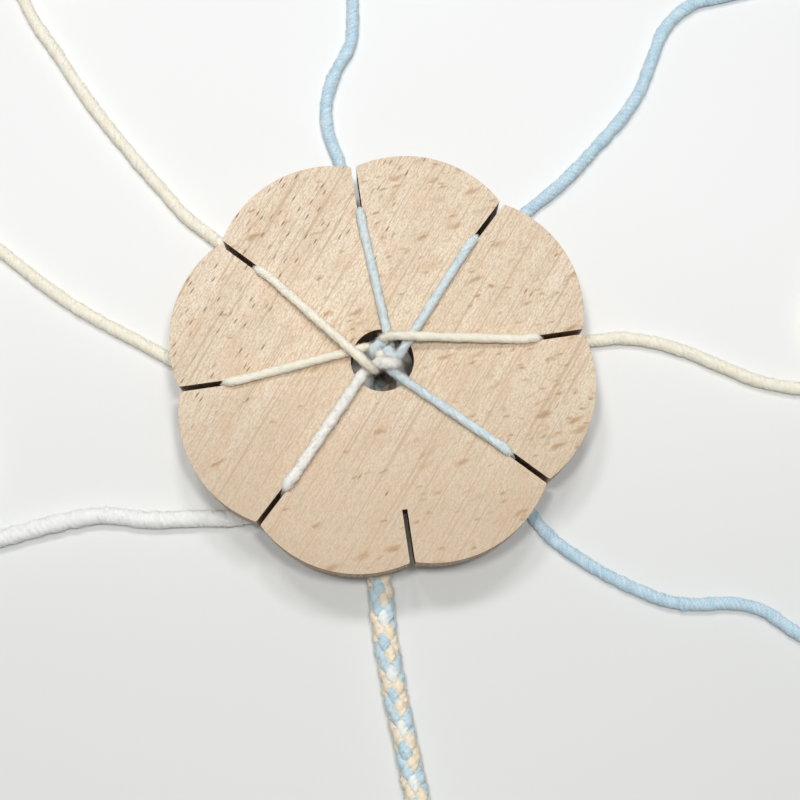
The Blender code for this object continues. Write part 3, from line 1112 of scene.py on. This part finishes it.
@dataclass
class WoodenDisk:
    """The slotted beech disk: eight lobes, a slot between each two, and the centre hole."""

    mouth_ease: float = 0.5 * MM
    edge_ease: float = 0.25 * MM
    lobe_steps: int = 40
    ease_steps: int = 5
    hole_steps: int = 128
    bevel_steps: int = 3
    eased_angle: float = math.radians(60)
    sharp_angle: float = math.radians(35)
    finish: BeechFinish = BeechFinish()

    def build(self) -> bpy.types.Object:
        """Build the disk in place of its plain solid.

        Returns:
            The disk.
        """
        curve = bpy.data.curves.new("disk_outline", "CURVE")
        curve.dimensions = "2D"
        curve.fill_mode = "BOTH"
        curve.extrude = DISK_THICKNESS / 2
        hole = arc_points((0.0, 0.0), HOLE_RADIUS, 0.0, math.tau, self.hole_steps)[:-1]
        for outline in (self.outline(), hole):
            spline = curve.splines.new("POLY")
            spline.points.add(len(outline) - 1)
            for point, (x, y) in zip(spline.points, outline):
                point.co = (x, y, 0.0, 1.0)
            spline.use_cyclic_u = True
        blank = bpy.data.objects.new("disk_blank", curve)
        bpy.context.scene.collection.objects.link(blank)
        mesh = mesh_of(blank)
        bpy.data.objects.remove(blank)
        weld(mesh)
        disk = show("beech_disk", mesh, self.finish.material())
        ease = disk.modifiers.new("eased_edges", "BEVEL")
        ease.width = self.edge_ease
        ease.segments = self.bevel_steps
        ease.limit_method = "ANGLE"
        ease.angle_limit = self.eased_angle
        disk.data = mesh_of(disk)
        disk.modifiers.clear()
        disk.data.shade_smooth()
        disk.data.set_sharp_from_angle(angle=self.sharp_angle)
        enter(disk, "beech", "disk")
        return disk

    def outline(self) -> list[tuple[float, float]]:
        """Return the whole outline, lobe by lobe, counter-clockwise."""
        points = []
        for index in range(SLOT_COUNT):
            angle = SLOT_TURN + (index + 0.5) * math.tau / SLOT_COUNT
            points.extend(turned(point, angle) for point in self.lobe())
        return points

    def lobe(self) -> list[tuple[float, float]]:
        """Return one lobe with half of the slot on each side of it, its crown on +X."""
        half_pitch = math.pi / SLOT_COUNT
        corner = (MOUTH_RADIUS * math.cos(half_pitch), MOUTH_RADIUS * math.sin(half_pitch))
        centre_x = (MOUTH_RADIUS ** 2 - DISK_RADIUS ** 2) / (2 * (corner[0] - DISK_RADIUS))
        lobe_radius = DISK_RADIUS - centre_x
        lobe_centre = turned((centre_x, 0.0), -half_pitch)
        ease_v = -SLOT_WIDTH / 2 - self.mouth_ease
        reach = math.sqrt((lobe_radius - self.mouth_ease) ** 2 - (ease_v - lobe_centre[1]) ** 2)
        ease_centre = (lobe_centre[0] + reach, ease_v)
        lobe_end = math.atan2(ease_v - lobe_centre[1], reach)
        ease = arc_points(ease_centre, self.mouth_ease, lobe_end, math.pi / 2, self.ease_steps)
        half_slot = [turned(point, half_pitch) for point in ease + [(SLOT_END, -SLOT_WIDTH / 2)]]
        half_arc = lobe_end + half_pitch
        lobe = arc_points((centre_x, 0.0), lobe_radius, -half_arc, half_arc, self.lobe_steps)
        mirrored_slot = [(x, -y) for x, y in reversed(half_slot)]
        return mirrored_slot + lobe[1:-1] + half_slot


def arc_points(centre: tuple[float, float], radius: float, start: float, end: float,
               steps: int) -> list[tuple[float, float]]:
    """Points along an arc.

    Args:
        centre: the arc's centre.
        radius: its radius.
        start: its first angle.
        end: its last angle.
        steps: how many steps it has.

    Returns:
        The points, first and last included.
    """
    angles = [start + (end - start) * step / steps for step in range(steps + 1)]
    return [(centre[0] + radius * math.cos(angle), centre[1] + radius * math.sin(angle)) for angle in angles]


def turned(point: tuple[float, float], angle: float) -> tuple[float, float]:
    """Return a flat point turned about the origin.

    Args:
        point: the point.
        angle: the angle, counter-clockwise.
    """
    x, y = point
    return (x * math.cos(angle) - y * math.sin(angle), x * math.sin(angle) + y * math.cos(angle))


def slot_angle(number: int) -> float:
    """Return the direction of a slot, counted clockwise from the top.

    Args:
        number: the slot's number.
    """
    return SLOT_TURN + (3 - number) * math.tau / SLOT_COUNT


def mesh_of(piece: bpy.types.Object) -> bpy.types.Mesh:
    """Return a new mesh of a piece as it shows, modifiers included.

    Args:
        piece: the piece.
    """
    bpy.context.view_layer.update()
    evaluated = piece.evaluated_get(bpy.context.evaluated_depsgraph_get())
    return bpy.data.meshes.new_from_object(evaluated)


def weld(mesh: bpy.types.Mesh) -> None:
    """Join the loose caps of a mesh that came from a curve.

    Args:
        mesh: the mesh.
    """
    shape = bmesh.new()
    shape.from_mesh(mesh)
    bmesh.ops.remove_doubles(shape, verts=shape.verts, dist=0.01 * MM)
    bmesh.ops.recalc_face_normals(shape, faces=shape.faces)
    shape.to_mesh(mesh)
    shape.free()


def enter(piece: bpy.types.Object, slot: str, *nodes: str) -> None:
    """Attach a piece to the root, as all pieces here are, and hide the plain solids that it stands for.

    Args:
        piece: the piece.
        slot: not used.
        nodes: the plain solids that it stands for.
    """
    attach(piece, "root")
    if nodes:
        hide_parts(*nodes)


def show(name: str, mesh: bpy.types.Mesh, *materials: bpy.types.Material) -> bpy.types.Object:
    """Put a mesh in the scene.

    Args:
        name: the piece's name.
        mesh: its mesh.
        materials: its materials, in the order of their slots.

    Returns:
        The piece.
    """
    piece = bpy.data.objects.new(name, mesh)
    for material in materials:
        mesh.materials.append(material)
    bpy.context.scene.collection.objects.link(piece)
    return piece


@dataclass
class Coil:
    """The rest of a strand, wound into a small round coil that a short tie holds."""

    turns_radius: float
    yarn_radius: float
    turn: int
    turns: float = 2.5
    half_wide: float = 2.3
    spread: float = 1.02
    rise: float = 0.86
    climb: float = math.radians(75)
    points_per_turn: int = 18
    tie_turn: float = math.radians(215)
    tie_share: float = 0.4
    tie_steps: int = 24

    def centre(self, before: Vector, end: Vector) -> tuple[Vector, float]:
        """Find where the coil lies, as its plain solid does.

        Args:
            before: the strand's last control but one.
            end: its last control.

        Returns:
            The coil's centre on the ground, and the direction from it to where the turns start.
        """
        heading = Vector((end.x - before.x, end.y - before.y, 0.0)).normalized()
        side = Vector((-heading.y, heading.x, 0.0)) * self.turn
        outer = self.turns_radius + self.half_wide * self.yarn_radius + SEAT_GAP
        lead = math.sqrt(outer ** 2 - self.turns_radius ** 2)
        centre = end + heading * lead + side * (self.turns_radius + self.yarn_radius)
        start = math.atan2(-heading.x * self.turn, heading.y * self.turn)
        return Vector((centre.x, centre.y, GROUND)), start

    def bundle_place(self, angle: float) -> tuple[float, float]:
        """Where the yarn lies in the bundle: outside first, then inside, then on top.

        Args:
            angle: how far the yarn has gone round.

        Returns:
            The radius from the coil's centre, and the height over the ground.
        """
        yarn = self.yarn_radius
        outside = (self.turns_radius + self.spread * yarn, yarn)
        inside = (self.turns_radius - self.spread * yarn, yarn)
        above = (self.turns_radius, yarn * (1 + 2 * self.rise))
        stages = ((math.tau, outside, inside), (2 * math.tau, inside, above))
        radius, height = outside
        for end, before, after in stages:
            share = min(max((angle - end + self.climb) / self.climb, 0.0), 1.0)
            ease = share * share * (3 - 2 * share)
            if share > 0.0:
                radius = before[0] + (after[0] - before[0]) * ease
                height = before[1] + (after[1] - before[1]) * ease
        return radius, height

    def beads(self, before: Vector, end: Vector) -> list[Bead]:
        """Controls of the coil's turns.

        Args:
            before: the strand's last control but one.
            end: its last control.

        Returns:
            The controls that follow the strand's own.
        """
        centre, start = self.centre(before, end)
        controls = []
        steps = round(self.turns * self.points_per_turn)
        for step in range(steps + 1):
            angle = self.turns * math.tau * step / steps
            radius, height = self.bundle_place(angle)
            facing = start + self.turn * angle
            place = centre + Vector((radius * math.cos(facing), radius * math.sin(facing), height))
            controls.append(Bead(place, self.yarn_radius))
        return controls

    def tie_line(self, before: Vector, end: Vector) -> YarnLine:
        """A thin yarn that goes once and a half round the bundle, with its ends crossed on top.

        Args:
            before: the strand's last control but one.
            end: its last control.

        Returns:
            The tie's line.
        """
        centre, start = self.centre(before, end)
        facing = start + self.turn * self.tie_turn
        outwards = Vector((math.cos(facing), math.sin(facing), 0.0))
        sideways = Vector((-outwards.y, outwards.x, 0.0))
        thin = self.tie_share * self.yarn_radius
        half_wide = (1 + self.spread) * self.yarn_radius + thin
        half_high = (1 + self.rise) * self.yarn_radius + thin * 0.4
        middle = centre + outwards * self.turns_radius + UP * half_high
        first_end = outwards * half_wide * 0.9 + UP * (half_high * 0.35) + sideways * 3.4 * thin
        last_end = outwards * half_wide * 1.15 - UP * (half_high * 0.2) - sideways * 5.0 * thin
        controls = [Bead(middle + first_end, thin)]
        for step in range(self.tie_steps + 1):
            share = step / self.tie_steps
            angle = math.tau * (0.12 + 1.26 * share)
            across, above = (math.copysign(abs(value) ** 0.8, value)
                             for value in (math.cos(angle), math.sin(angle)))
            drift = (share - 0.5) * 3.2 * thin
            place = middle + outwards * (half_wide * across) + UP * (half_high * above) + sideways * drift
            controls.append(Bead(place, thin))
        controls.append(Bead(middle - last_end, thin))
        return YarnLine.through(controls, LINE_STEP)


@dataclass
class Strand:
    """One strand: out of the braid, over the disk, through its slot and over the table to its coil."""

    name: str
    slot: int
    colour: YarnColour
    crown: list[tuple[float, float, float, float]]
    route: list[tuple[float, float]]
    turn: int
    seed: int
    straight_shares: tuple[float, ...] = (0.05, 0.15, 0.5, 0.85, 0.95)
    pinch: float = 0.46
    deep_in_slot: float = 1.2
    # The way down to the table: the share of the way aside, of the way down, and of the loose radius
    landing: tuple[tuple[float, float, float], ...] = (
        (0.06, 0.30, 0.85), (0.30, 0.66, 0.95), (0.70, 0.94, 1.0))

    @property
    def loose_radius(self) -> float:
        """Return the radius of the yarn where it lies loose."""
        return (2.0 if self.colour is YarnColour.WHITE else 1.5) * MM

    @property
    def taut_radius(self) -> float:
        """Return the radius of the yarn where it is stretched."""
        return (1.3 if self.colour is YarnColour.WHITE else 1.05) * MM

    @property
    def spun(self) -> YarnBuild:
        """Return how this strand's yarn is spun."""
        return WHITE_BUILD if self.colour is YarnColour.WHITE else YARN_BUILD

    def passage(self) -> list[Bead]:
        """Controls from the disk's face down through the slot's inner end to the table.

        Returns:
            The controls.
        """
        angle = slot_angle(self.slot)
        outwards = Vector((math.cos(angle), math.sin(angle), 0.0))
        taut = self.taut_radius
        edge = outwards * SLOT_END + UP * TOP
        pinched = self.pinch * SLOT_WIDTH / taut
        long = self.deep_in_slot
        seat = 1.25 * long * taut
        controls = [
            Bead(edge - outwards * 2.2 * MM + UP * (taut + 0.02 * MM), taut),
            Bead(edge - outwards * 0.5 * MM + UP * (0.98 * taut), taut * 1.02),
            Bead(edge + outwards * 0.45 * seat + UP * (0.55 * taut), taut, 1.0, 0.95),
            Bead(edge + outwards * 0.85 * seat - UP * (0.35 * taut), taut, 0.80, 0.95),
            Bead(edge + outwards * seat - UP * (1.5 * taut), taut, pinched, long),
            Bead(edge + outwards * seat - UP * (0.8 * DISK_THICKNESS), taut, pinched, long),
        ]
        drop = outwards * (SLOT_END + seat)
        controls.append(Bead(drop + UP * UNDERSIDE, taut, pinched * 1.1, long))
        aside = Vector((self.route[0][0] * MM, self.route[0][1] * MM, 0.0)) - drop
        aside.z = 0.0
        reach = min(GROUND_GAP, 0.95 * aside.length)
        aside.normalize()
        lay = GROUND + self.loose_radius
        for share, sink, swell in self.landing:
            height = UNDERSIDE + (lay - UNDERSIDE) * sink
            controls.append(Bead(drop + aside * (share * reach) + UP * height, self.loose_radius * swell))
        return controls

    def beads(self) -> list[Bead]:
        """Return all the controls, from the braid to the coil's end."""
        controls = [Bead(Vector((x, y, z)) * MM, self.taut_radius * thick) for x, y, z, thick in self.crown]
        passage = self.passage()
        hub, edge = controls[-1].place, passage[0].place
        controls.extend(Bead(hub.lerp(edge, share), self.taut_radius) for share in self.straight_shares)
        controls.extend(passage)
        on_table = self.on_table()
        controls.extend(Bead(place, self.loose_radius) for place in on_table)
        controls.extend(self.coil().beads(*on_table[-2:]))
        return controls

    def on_table(self) -> list[Vector]:
        """Return the places of the route on the table."""
        return [Vector((x * MM, y * MM, GROUND + self.loose_radius)) for x, y in self.route]

    def coil(self) -> Coil:
        """Return the coil that the strand ends in."""
        turns_radius = (20.0 if self.colour is YarnColour.WHITE else 16.0) * MM
        return Coil(turns_radius, self.loose_radius, self.turn)

    def build(self, materials: dict[YarnColour, bpy.types.Material]) -> float:
        """Args:
            materials: the yarns' materials.

        Returns:
            The strand's length.
        """
        angle = slot_angle(self.slot)
        across = Vector((-math.sin(angle), math.cos(angle), 0.0))
        line = YarnLine.through(self.beads(), LINE_STEP)
        slack = np.clip((TOP - line.points[:, 2]) / DISK_THICKNESS, 0.0, 1.0)
        stock = MeshStock()
        self.spun.spin(stock, line, 1.0 - slack, self.seed, press=across, fluffy_head=True)
        piece = show(self.name + "_yarn", stock.mesh(self.name), materials[self.colour])
        enter(piece, self.colour.value.name, self.name, self.name + "_coil")

        tie_stock = MeshStock()
        TIE_BUILD.spin(tie_stock, self.coil().tie_line(*self.on_table()[-2:]), 0.0, self.seed + TIE_SEED)
        tie = show(self.name + "_tie", tie_stock.mesh(self.name + "_tie"), materials[self.colour])
        enter(tie, self.colour.value.name)
        line.length()
        return line.length()


# Each strand's own points in millimetres: at the braid's crown as x, y, height and the thickness as a
# share of the taut yarn's, then on the table.
STRANDS = [
    Strand("blue_strand_1", 1, YarnColour.BLUE,
           crown=[(0.3, 1.4, 1.0, 1.0), (-1.3, 0.8, 4.2, 1.1), (-1.9, 1.9, 6.2, 1.3), (-0.9, 3.2, 6.8, 1.3),
                  (0.5, 4.5, 6.5, 1.1), (1.2, 5.9, 6.2, 1.0)],
           route=[(-8.2, 43.0), (-10.6, 52.9), (-13.6, 61.1), (-14.1, 68.0), (-11.9, 76.5), (-8.3, 83.7),
                  (-7.7, 94.0), (-8.4, 105.0)],
           turn=-1, seed=11),
    Strand("blue_strand_2", 2, YarnColour.BLUE,
           crown=[(0.8, 2.2, 1.0, 1.0), (0.7, 2.5, 4.2, 1.1), (1.2, 1.9, 6.1, 1.3), (2.3, 0.8, 6.5, 1.25),
                  (3.5, 0.8, 6.4, 1.1), (4.6, 2.2, 6.2, 1.0)],
           route=[(28.0, 34.8), (36.2, 41.3), (45.2, 49.0), (52.8, 57.4), (59.1, 64.6), (63.8, 71.7),
                  (67.2, 80.1), (70.8, 88.6), (77.5, 94.8), (85.2, 97.0), (94.0, 99.2)],
           turn=1, seed=12),
    Strand("cream_strand_3", 3, YarnColour.CREAM,
           crown=[(0.9, 2.6, 0.8, 0.9), (0.3, 3.5, 3.8, 0.9), (-0.1, 4.2, 6.3, 0.85), (0.3, 4.7, 7.9, 0.85),
                  (1.4, 4.95, 8.5, 0.95), (3.4, 5.1, 8.6, 1.0)],
           route=[(43.0, 8.0), (50.3, 8.2), (57.5, 8.9), (64.6, 8.1), (73.3, 5.6), (81.8, 2.0),
                  (91.0, -1.7), (100.0, -3.4), (107.5, -4.2)],
           turn=1, seed=13),
    Strand("blue_strand_4", 4, YarnColour.BLUE,
           crown=[(0.4, 0.6, 0.8, 1.0), (0.9, -0.9, 3.6, 1.0), (1.4, -1.8, 5.4, 1.05), (2.3, -2.9, 6.2, 1.0)],
           route=[(33.0, -29.5), (37.9, -37.3), (48.2, -45.4), (54.7, -49.1), (61.3, -52.2), (67.7, -54.5),
                  (74.7, -55.2), (81.5, -54.8), (88.7, -56.2), (96.5, -61.2), (102.8, -65.4)],
           turn=1, seed=14),
    Strand("white_strand_6", 6, YarnColour.WHITE,
           crown=[(1.4, 1.6, 1.0, 0.9), (2.8, 0.5, 3.4, 0.95), (3.1, -0.9, 5.9, 1.1), (1.9, -1.15, 7.3, 1.2),
                  (0.1, -1.05, 7.5, 1.1), (-1.8, -1.5, 6.9, 0.95), (-4.3, -3.2, 6.3, 0.88)],
           route=[(-26.5, -32.5), (-34.5, -34.9), (-43.0, -35.0), (-54.8, -35.4), (-66.6, -34.4),
                  (-78.3, -36.6), (-88.0, -39.3), (-96.5, -41.7)],
           turn=-1, seed=16),
    Strand("cream_strand_7", 7, YarnColour.CREAM,
           crown=[(0.4, -0.3, 1.0, 0.9), (0.3, -0.4, 4.2, 1.0), (-0.3, 0.3, 6.4, 1.2), (-1.1, 1.6, 6.6, 1.1),
                  (-2.2, 2.5, 5.9, 0.95), (-3.9, 2.8, 6.1, 0.95)],
           route=[(-43.0, -1.2), (-50.6, 3.2), (-59.6, 8.2), (-68.3, 12.8), (-75.9, 17.4), (-83.2, 22.6),
                  (-90.8, 28.6), (-97.0, 33.4)],
           turn=1, seed=17),
    Strand("cream_strand_8", 8, YarnColour.CREAM,
           crown=[(-0.6, 0.2, 1.2, 0.9), (-1.3, -1.7, 4.6, 0.95), (-1.9, -2.6, 6.8, 1.0),
                  (-2.7, -2.3, 8.2, 1.0), (-3.9, -1.3, 8.8, 1.0), (-5.4, 0.1, 8.8, 1.0)],
           route=[(-33.6, 26.4), (-39.6, 32.3), (-47.4, 38.4), (-54.3, 46.0), (-62.1, 55.1), (-69.4, 64.1),
                  (-75.3, 72.2), (-80.7, 80.4), (-86.9, 89.3), (-92.0, 99.0)],
           turn=-1, seed=18),
]


@dataclass
class Braid:
    """The round braid of seven strands, from its crown in the hole to the knot that it starts from.

    Each strand shows as one stitch after another. From stitch to stitch of the same strand it
    goes through the middle of the braid and comes out a third of a turn further round.
    """

    diameter: float = 6.1 * MM
    top: float = 1.0 * MM
    offset: tuple[float, float] = (0.6 * MM, 2.2 * MM)
    bend_start: float = -1.8 * MM
    bend_steps: int = 7
    stitch_step: float = 0.6 * MM
    stitch_turn: float = math.tau * 8 / 21
    yarn_radius: float = 1.40 * MM
    heart_radius: float = 2.00 * MM
    heart_start: float = 1.6 * MM
    tautness: float = 0.4
    knot_size: tuple[float, float, float] = (15.0 * MM, 13.0 * MM, 11.5 * MM)
    knot_steps: int = 40
    knot_turns: float = 1.42
    knot_twists: float = 1.9
    knot_inset: float = 4.2 * MM
    knot_weave: float = 1.7 * MM
    knot_rope: float = 1.45 * MM
    knot_yarn: float = 0.98 * MM
    tail_length: float = 14.0 * MM
    tail_steps: int = 5
    tail_radius: float = 1.12 * MM
    route: tuple[tuple[float, float], ...] = ((-0.2, -24.0), (-0.7, -36.0), (-0.6, -48.0), (0.6, -61.2),
                                              (3.4, -77.2), (6.6, -92.0), (8.9, -103.0), (9.8, -107.5))
    colours: tuple[YarnColour, ...] = (YarnColour.BLUE, YarnColour.CREAM, YarnColour.BLUE, YarnColour.BLUE,
                                       YarnColour.WHITE, YarnColour.CREAM, YarnColour.CREAM)
    white_index: int = 4
    first_white_y: float = -59.0 * MM
    # Each stitch's controls: the way ahead in stitches, the swing, the reach and the thickness
    stitch: tuple[tuple[float, float, float, float], ...] = (
        (-0.30, -0.06, 0.93, 0.98), (0.0, 0.0, 1.0, 1.06), (0.30, 0.06, 0.93, 0.98),
        (0.50, math.tau / 6, 0.28, 0.72))

    def core(self) -> YarnLine:
        """Return the braid's own centreline, the same as its plain solid has."""
        radius = self.diameter / 2
        lay = GROUND + radius
        x, y = self.offset
        bend_top = TOP + self.bend_start
        bend_radius = bend_top - lay
        controls = [Bead(Vector((x, y, TOP + self.top)), radius)]
        first_x, first_y = (value * MM for value in self.route[0])
        for step in range(self.bend_steps + 1):
            turn = math.pi / 2 * step / self.bend_steps
            along = y - bend_radius + bend_radius * math.cos(turn)
            share = (y - along) / (y - first_y)
            height = bend_top - bend_radius * math.sin(turn)
            controls.append(Bead(Vector((x + (first_x - x) * share, along, height)), radius))
        controls.extend(Bead(Vector((px * MM, py * MM, lay)), radius) for px, py in self.route)
        return YarnLine.through(controls, LINE_STEP)

    def build(self, materials: dict[YarnColour, bpy.types.Material]) -> float:
        """Args:
            materials: the yarns' materials.

        Returns:
            The braid's length.
        """
        core = self.core()
        along = core.steps()
        frames = core.frames(Vector((0.0, -1.0, 0.0)))
        white_at = float(np.interp(-self.first_white_y, -core.points[:, 1], along))
        strands = range(len(self.colours))
        lines = [self.strand_line(strand, core, along, frames, white_at) for strand in strands]
        stock = self.spun(BRAID_BUILD, lines, BRAID_SEED, self.tautness)
        start = int(np.searchsorted(along, self.heart_start))
        heart = YarnLine(core.points[start:], np.full(len(along) - start, self.heart_radius),
                         core.wide[start:], core.deep[start:])
        HEART_BUILD.spin(stock, heart, self.tautness, HEART_SEED, YARN_ORDER.index(YarnColour.WHITE))
        piece = self.show_yarns("round_braid", "braid", stock, materials)

        last = Vector(core.points[-1])
        heading = (last - Vector(core.points[-6])).normalized()
        knot_lines = [self.knot_line(strand, last, heading) for strand in strands]
        knot_stock = self.spun(BRAID_BUILD, knot_lines, KNOT_SEED, self.tautness)
        knot = self.show_yarns("start_knot", "braid_knot", knot_stock, materials)
        tail_lines = [self.tail_line(strand, last, heading) for strand in strands]
        tail_stock = self.spun(YARN_BUILD, tail_lines, TAIL_SEED, 0.0)
        tails = self.show_yarns("start_tails", "braid_tails", tail_stock, materials)
        core.length()
        return core.length()

    def spun(self, build: YarnBuild, lines: list[YarnLine], seed: int, taut: float) -> MeshStock:
        """Spin the seven strands, each in its own colour.

        Args:
            build: how they are spun.
            lines: their centrelines.
            seed: the first strand's start of random draws.
            taut: how stretched they are, 0 to 1.

        Returns:
            The stock of all of them.
        """
        stock = MeshStock()
        for strand, (line, colour) in enumerate(zip(lines, self.colours)):
            build.spin(stock, line, taut, seed + strand, YARN_ORDER.index(colour))
        return stock

    @staticmethod
    def show_yarns(name: str, node: str, stock: MeshStock,
                   materials: dict[YarnColour, bpy.types.Material]) -> bpy.types.Object:
        """Put a piece of the three yarns in the scene.

        Args:
            name: the piece's name.
            node: the plain solid that it stands for.
            stock: its mesh stock.
            materials: the yarns' materials.

        Returns:
            The piece.
        """
        piece = show(name, stock.mesh(name), *(materials[colour] for colour in YARN_ORDER))
        enter(piece, "braid_yarn", node)
        return piece

    def strand_line(self, strand: int, core: YarnLine, along: Array, frames: tuple[Array, Array, Array],
                    white_at: float) -> YarnLine:
        """The way of one strand through the braid.

        Args:
            strand: its number, which gives its place in the order of the stitches.
            core: the braid's centreline.
            along: the distances along it.
            frames: its directions.
            white_at: where on it a white stitch faces up.

        Returns:
            The strand's centreline.
        """
        _, normals, sides = frames
        stitch_length = self.stitch_step * len(self.colours)
        surface = self.diameter / 2 - 1.15 * self.yarn_radius
        behind = strand - self.white_index
        first = white_at - self.stitch_step * behind
        lowest = math.ceil((-first) / stitch_length)
        highest = math.floor((along[-1] - first) / stitch_length)
        beads = []
        for number in range(lowest, highest + 1):
            middle = first + stitch_length * number
            facing = self.stitch_turn * behind + math.tau / 3 * number
            for ahead, swing, reach, thick in self.stitch:
                spot = min(max(middle + ahead * stitch_length, 0.0), along[-1])
                angle = facing + swing
                place, normal, side = (Vector([np.interp(spot, along, values[:, axis]) for axis in range(3)])
                                       for values in (core.points, normals, sides))
                offset = (normal * math.cos(angle) - side * math.sin(angle)) * surface * reach
                beads.append(Bead(place + offset, self.yarn_radius * thick))
        return YarnLine.through(beads, ROPE_STEP)

    def knot_line(self, strand: int, braid_end: Vector, heading: Vector) -> YarnLine:
        """The way of one strand through the overhand knot, a rope of all seven wrapped round itself.

        Args:
            strand: its number.
            braid_end: where the braid ends.
            heading: the way that it runs.

        Returns:
            The strand's centreline.
        """
        length, width, height = self.knot_size
        side = Vector((-heading.y, heading.x, 0.0))
        centre = braid_end + heading * (length / 2 + SEAT_GAP)
        centre.z = GROUND + height / 2
        own = math.tau * strand / len(self.colours)
        beads = []
        for step in range(self.knot_steps + 1):
            t = step / self.knot_steps
            wrap = math.tau * (self.knot_turns * t) - 0.7
            forward = (t - 0.5) * (length - self.knot_inset) + self.knot_weave * math.sin(math.tau * t)
            out = 0.60 * math.sin(math.pi * t) ** 0.35
            middle = (centre + heading * forward + side * (width / 2 * out * math.cos(wrap) * 0.86)
                      + UP * (height / 2 * out * math.sin(wrap) * 0.86))
            twist = own + self.knot_twists * math.tau * t
            outwards = side * math.cos(wrap) + UP * math.sin(wrap)
            around = outwards * math.cos(twist) + heading * math.sin(twist)
            beads.append(Bead(middle + around * self.knot_rope, self.knot_yarn))
        return YarnLine.through(beads, ROPE_STEP)

    def tail_line(self, strand: int, braid_end: Vector, heading: Vector) -> YarnLine:
        """One of the seven short ends beyond the knot, fanned out on the table.

        Args:
            strand: its number.
            braid_end: where the braid ends.
            heading: the way that it runs.

        Returns:
            The end's centreline.
        """
        side = Vector((-heading.y, heading.x, 0.0))
        root = braid_end + heading * (self.knot_size[0] - 1.0 * MM)
        root.z = GROUND
        spread = (strand - 3) / 3
        layer = 1.0 + 1.5 * (strand % 2)
        reach = self.tail_length * (1.04 - 0.05 * ((strand * 5) % 4))
        beads = []
        for step in range(self.tail_steps + 1):
            t = step / self.tail_steps
            aside = spread * (2.2 + 3.2 * t ** 1.2) * MM
            rise = 4.6 if step == 0 else 1.2 + (layer - 0.6) * (1.15 - 0.45 * t)
            beads.append(Bead(root + heading * (reach * t) + side * aside + UP * rise * MM, self.tail_radius))
        return YarnLine.through(beads, LINE_STEP)


@dataclass
class Studio:
    """The table, the lamps and the camera."""

    camera_place: tuple[float, float, float] = (0.4 * MM, -76.6 * MM, 373.4 * MM)
    camera_look: tuple[float, float, float] = (0.0098, 0.1796, -0.9837)
    camera_up: tuple[float, float, float] = (-0.0018, 0.9837, 0.1796)
    focal_share: float = 1627.6 / 800.0
    sensor: float = 36.0
    near_clip: float = 0.01
    table_size: float = 4.0
    sky: float = 0.20
    lamps: tuple[tuple[str, tuple[float, float, float], float, float], ...] = (
        ("left_skylight", (-0.10, -0.02, 0.74), 0.08, 1.43),
        ("right_skylight", (0.10, -0.02, 0.74), 0.08, 1.43),
        ("left_window", (-0.14, 0.31, 0.67), 0.12, 1.08),
        ("right_window", (0.05, 0.33, 0.67), 0.12, 0.96),
    )

    def build(self) -> None:
        """Build the table, the lamps and the camera, and set how the picture is taken."""
        bpy.ops.mesh.primitive_plane_add(size=self.table_size, location=(0.0, 0.0, GROUND))
        table = bpy.context.object
        table.name = "table"
        table.data.materials.append(TableFinish().material())

        world = bpy.data.worlds.new("soft_room")
        world.use_nodes = True
        background = world.node_tree.nodes["Background"]
        background.inputs["Color"].default_value = (1.0, 1.0, 1.0, 1.0)
        strength = world.node_tree.nodes.new("ShaderNodeMapRange")
        world.node_tree.links.new(backdrop_rays(world.node_tree), strength.inputs["Value"])
        strength.inputs["To Min"].default_value = self.sky
        strength.inputs["To Max"].default_value = BACKDROP
        world.node_tree.links.new(strength.outputs["Result"], background.inputs["Strength"])
        bpy.context.scene.world = world

        for lamp in self.lamps:
            self.lamp(*lamp)
        self.camera()
        bpy.context.scene.view_settings.view_transform = "Standard"

    def lamp(self, name: str, place: tuple[float, float, float], size: float, power: float) -> None:
        """Add a soft area lamp that faces the disk.

        Args:
            name: the lamp's name.
            place: where it stands.
            size: its width.
            power: its power in watts.
        """
        data = bpy.data.lights.new(name, "AREA")
        data.shape = "DISK"
        data.size = size
        data.energy = power
        lamp = bpy.data.objects.new(name, data)
        lamp.location = place
        lamp.rotation_euler = Vector(place).to_track_quat("Z", "Y").to_euler()
        bpy.context.scene.collection.objects.link(lamp)

    def camera(self) -> None:
        """Add the camera at the photograph's angle."""
        data = bpy.data.cameras.new("camera")
        data.sensor_width = self.sensor
        data.lens = self.sensor * self.focal_share
        data.clip_start = self.near_clip
        camera = bpy.data.objects.new("camera", data)
        back = -Vector(self.camera_look).normalized()
        right = Vector(self.camera_up).cross(back).normalized()
        turn = Matrix((right, back.cross(right), back)).transposed().to_4x4()
        camera.matrix_world = Matrix.Translation(self.camera_place) @ turn
        bpy.context.scene.collection.objects.link(camera)
        bpy.context.scene.camera = camera


def main() -> None:
    """Build the disk, the strands, the braid and the studio."""
    logging.basicConfig(level=logging.INFO, format="%(name)s: %(message)s")
    disk = WoodenDisk().build()
    log.info("%s: %d faces", disk.name, len(disk.data.polygons))
    materials = {colour: colour.value.material() for colour in YarnColour}
    for strand in STRANDS:
        length = strand.build(materials)
        log.info("%s: %.0f mm", strand.name, length / MM)
    braided = {colour: finish.material() for colour, finish in BRAIDED_FINISHES.items()}
    log.info("braid: %.0f mm", Braid().build(braided) / MM)
    Studio().build()
    faces = sum(len(piece.data.polygons) for piece in bpy.context.scene.objects
                if piece.type == "MESH" and not piece.hide_render)
    log.info("all pieces: %d faces", faces)


if __name__ == "__main__":
    main()
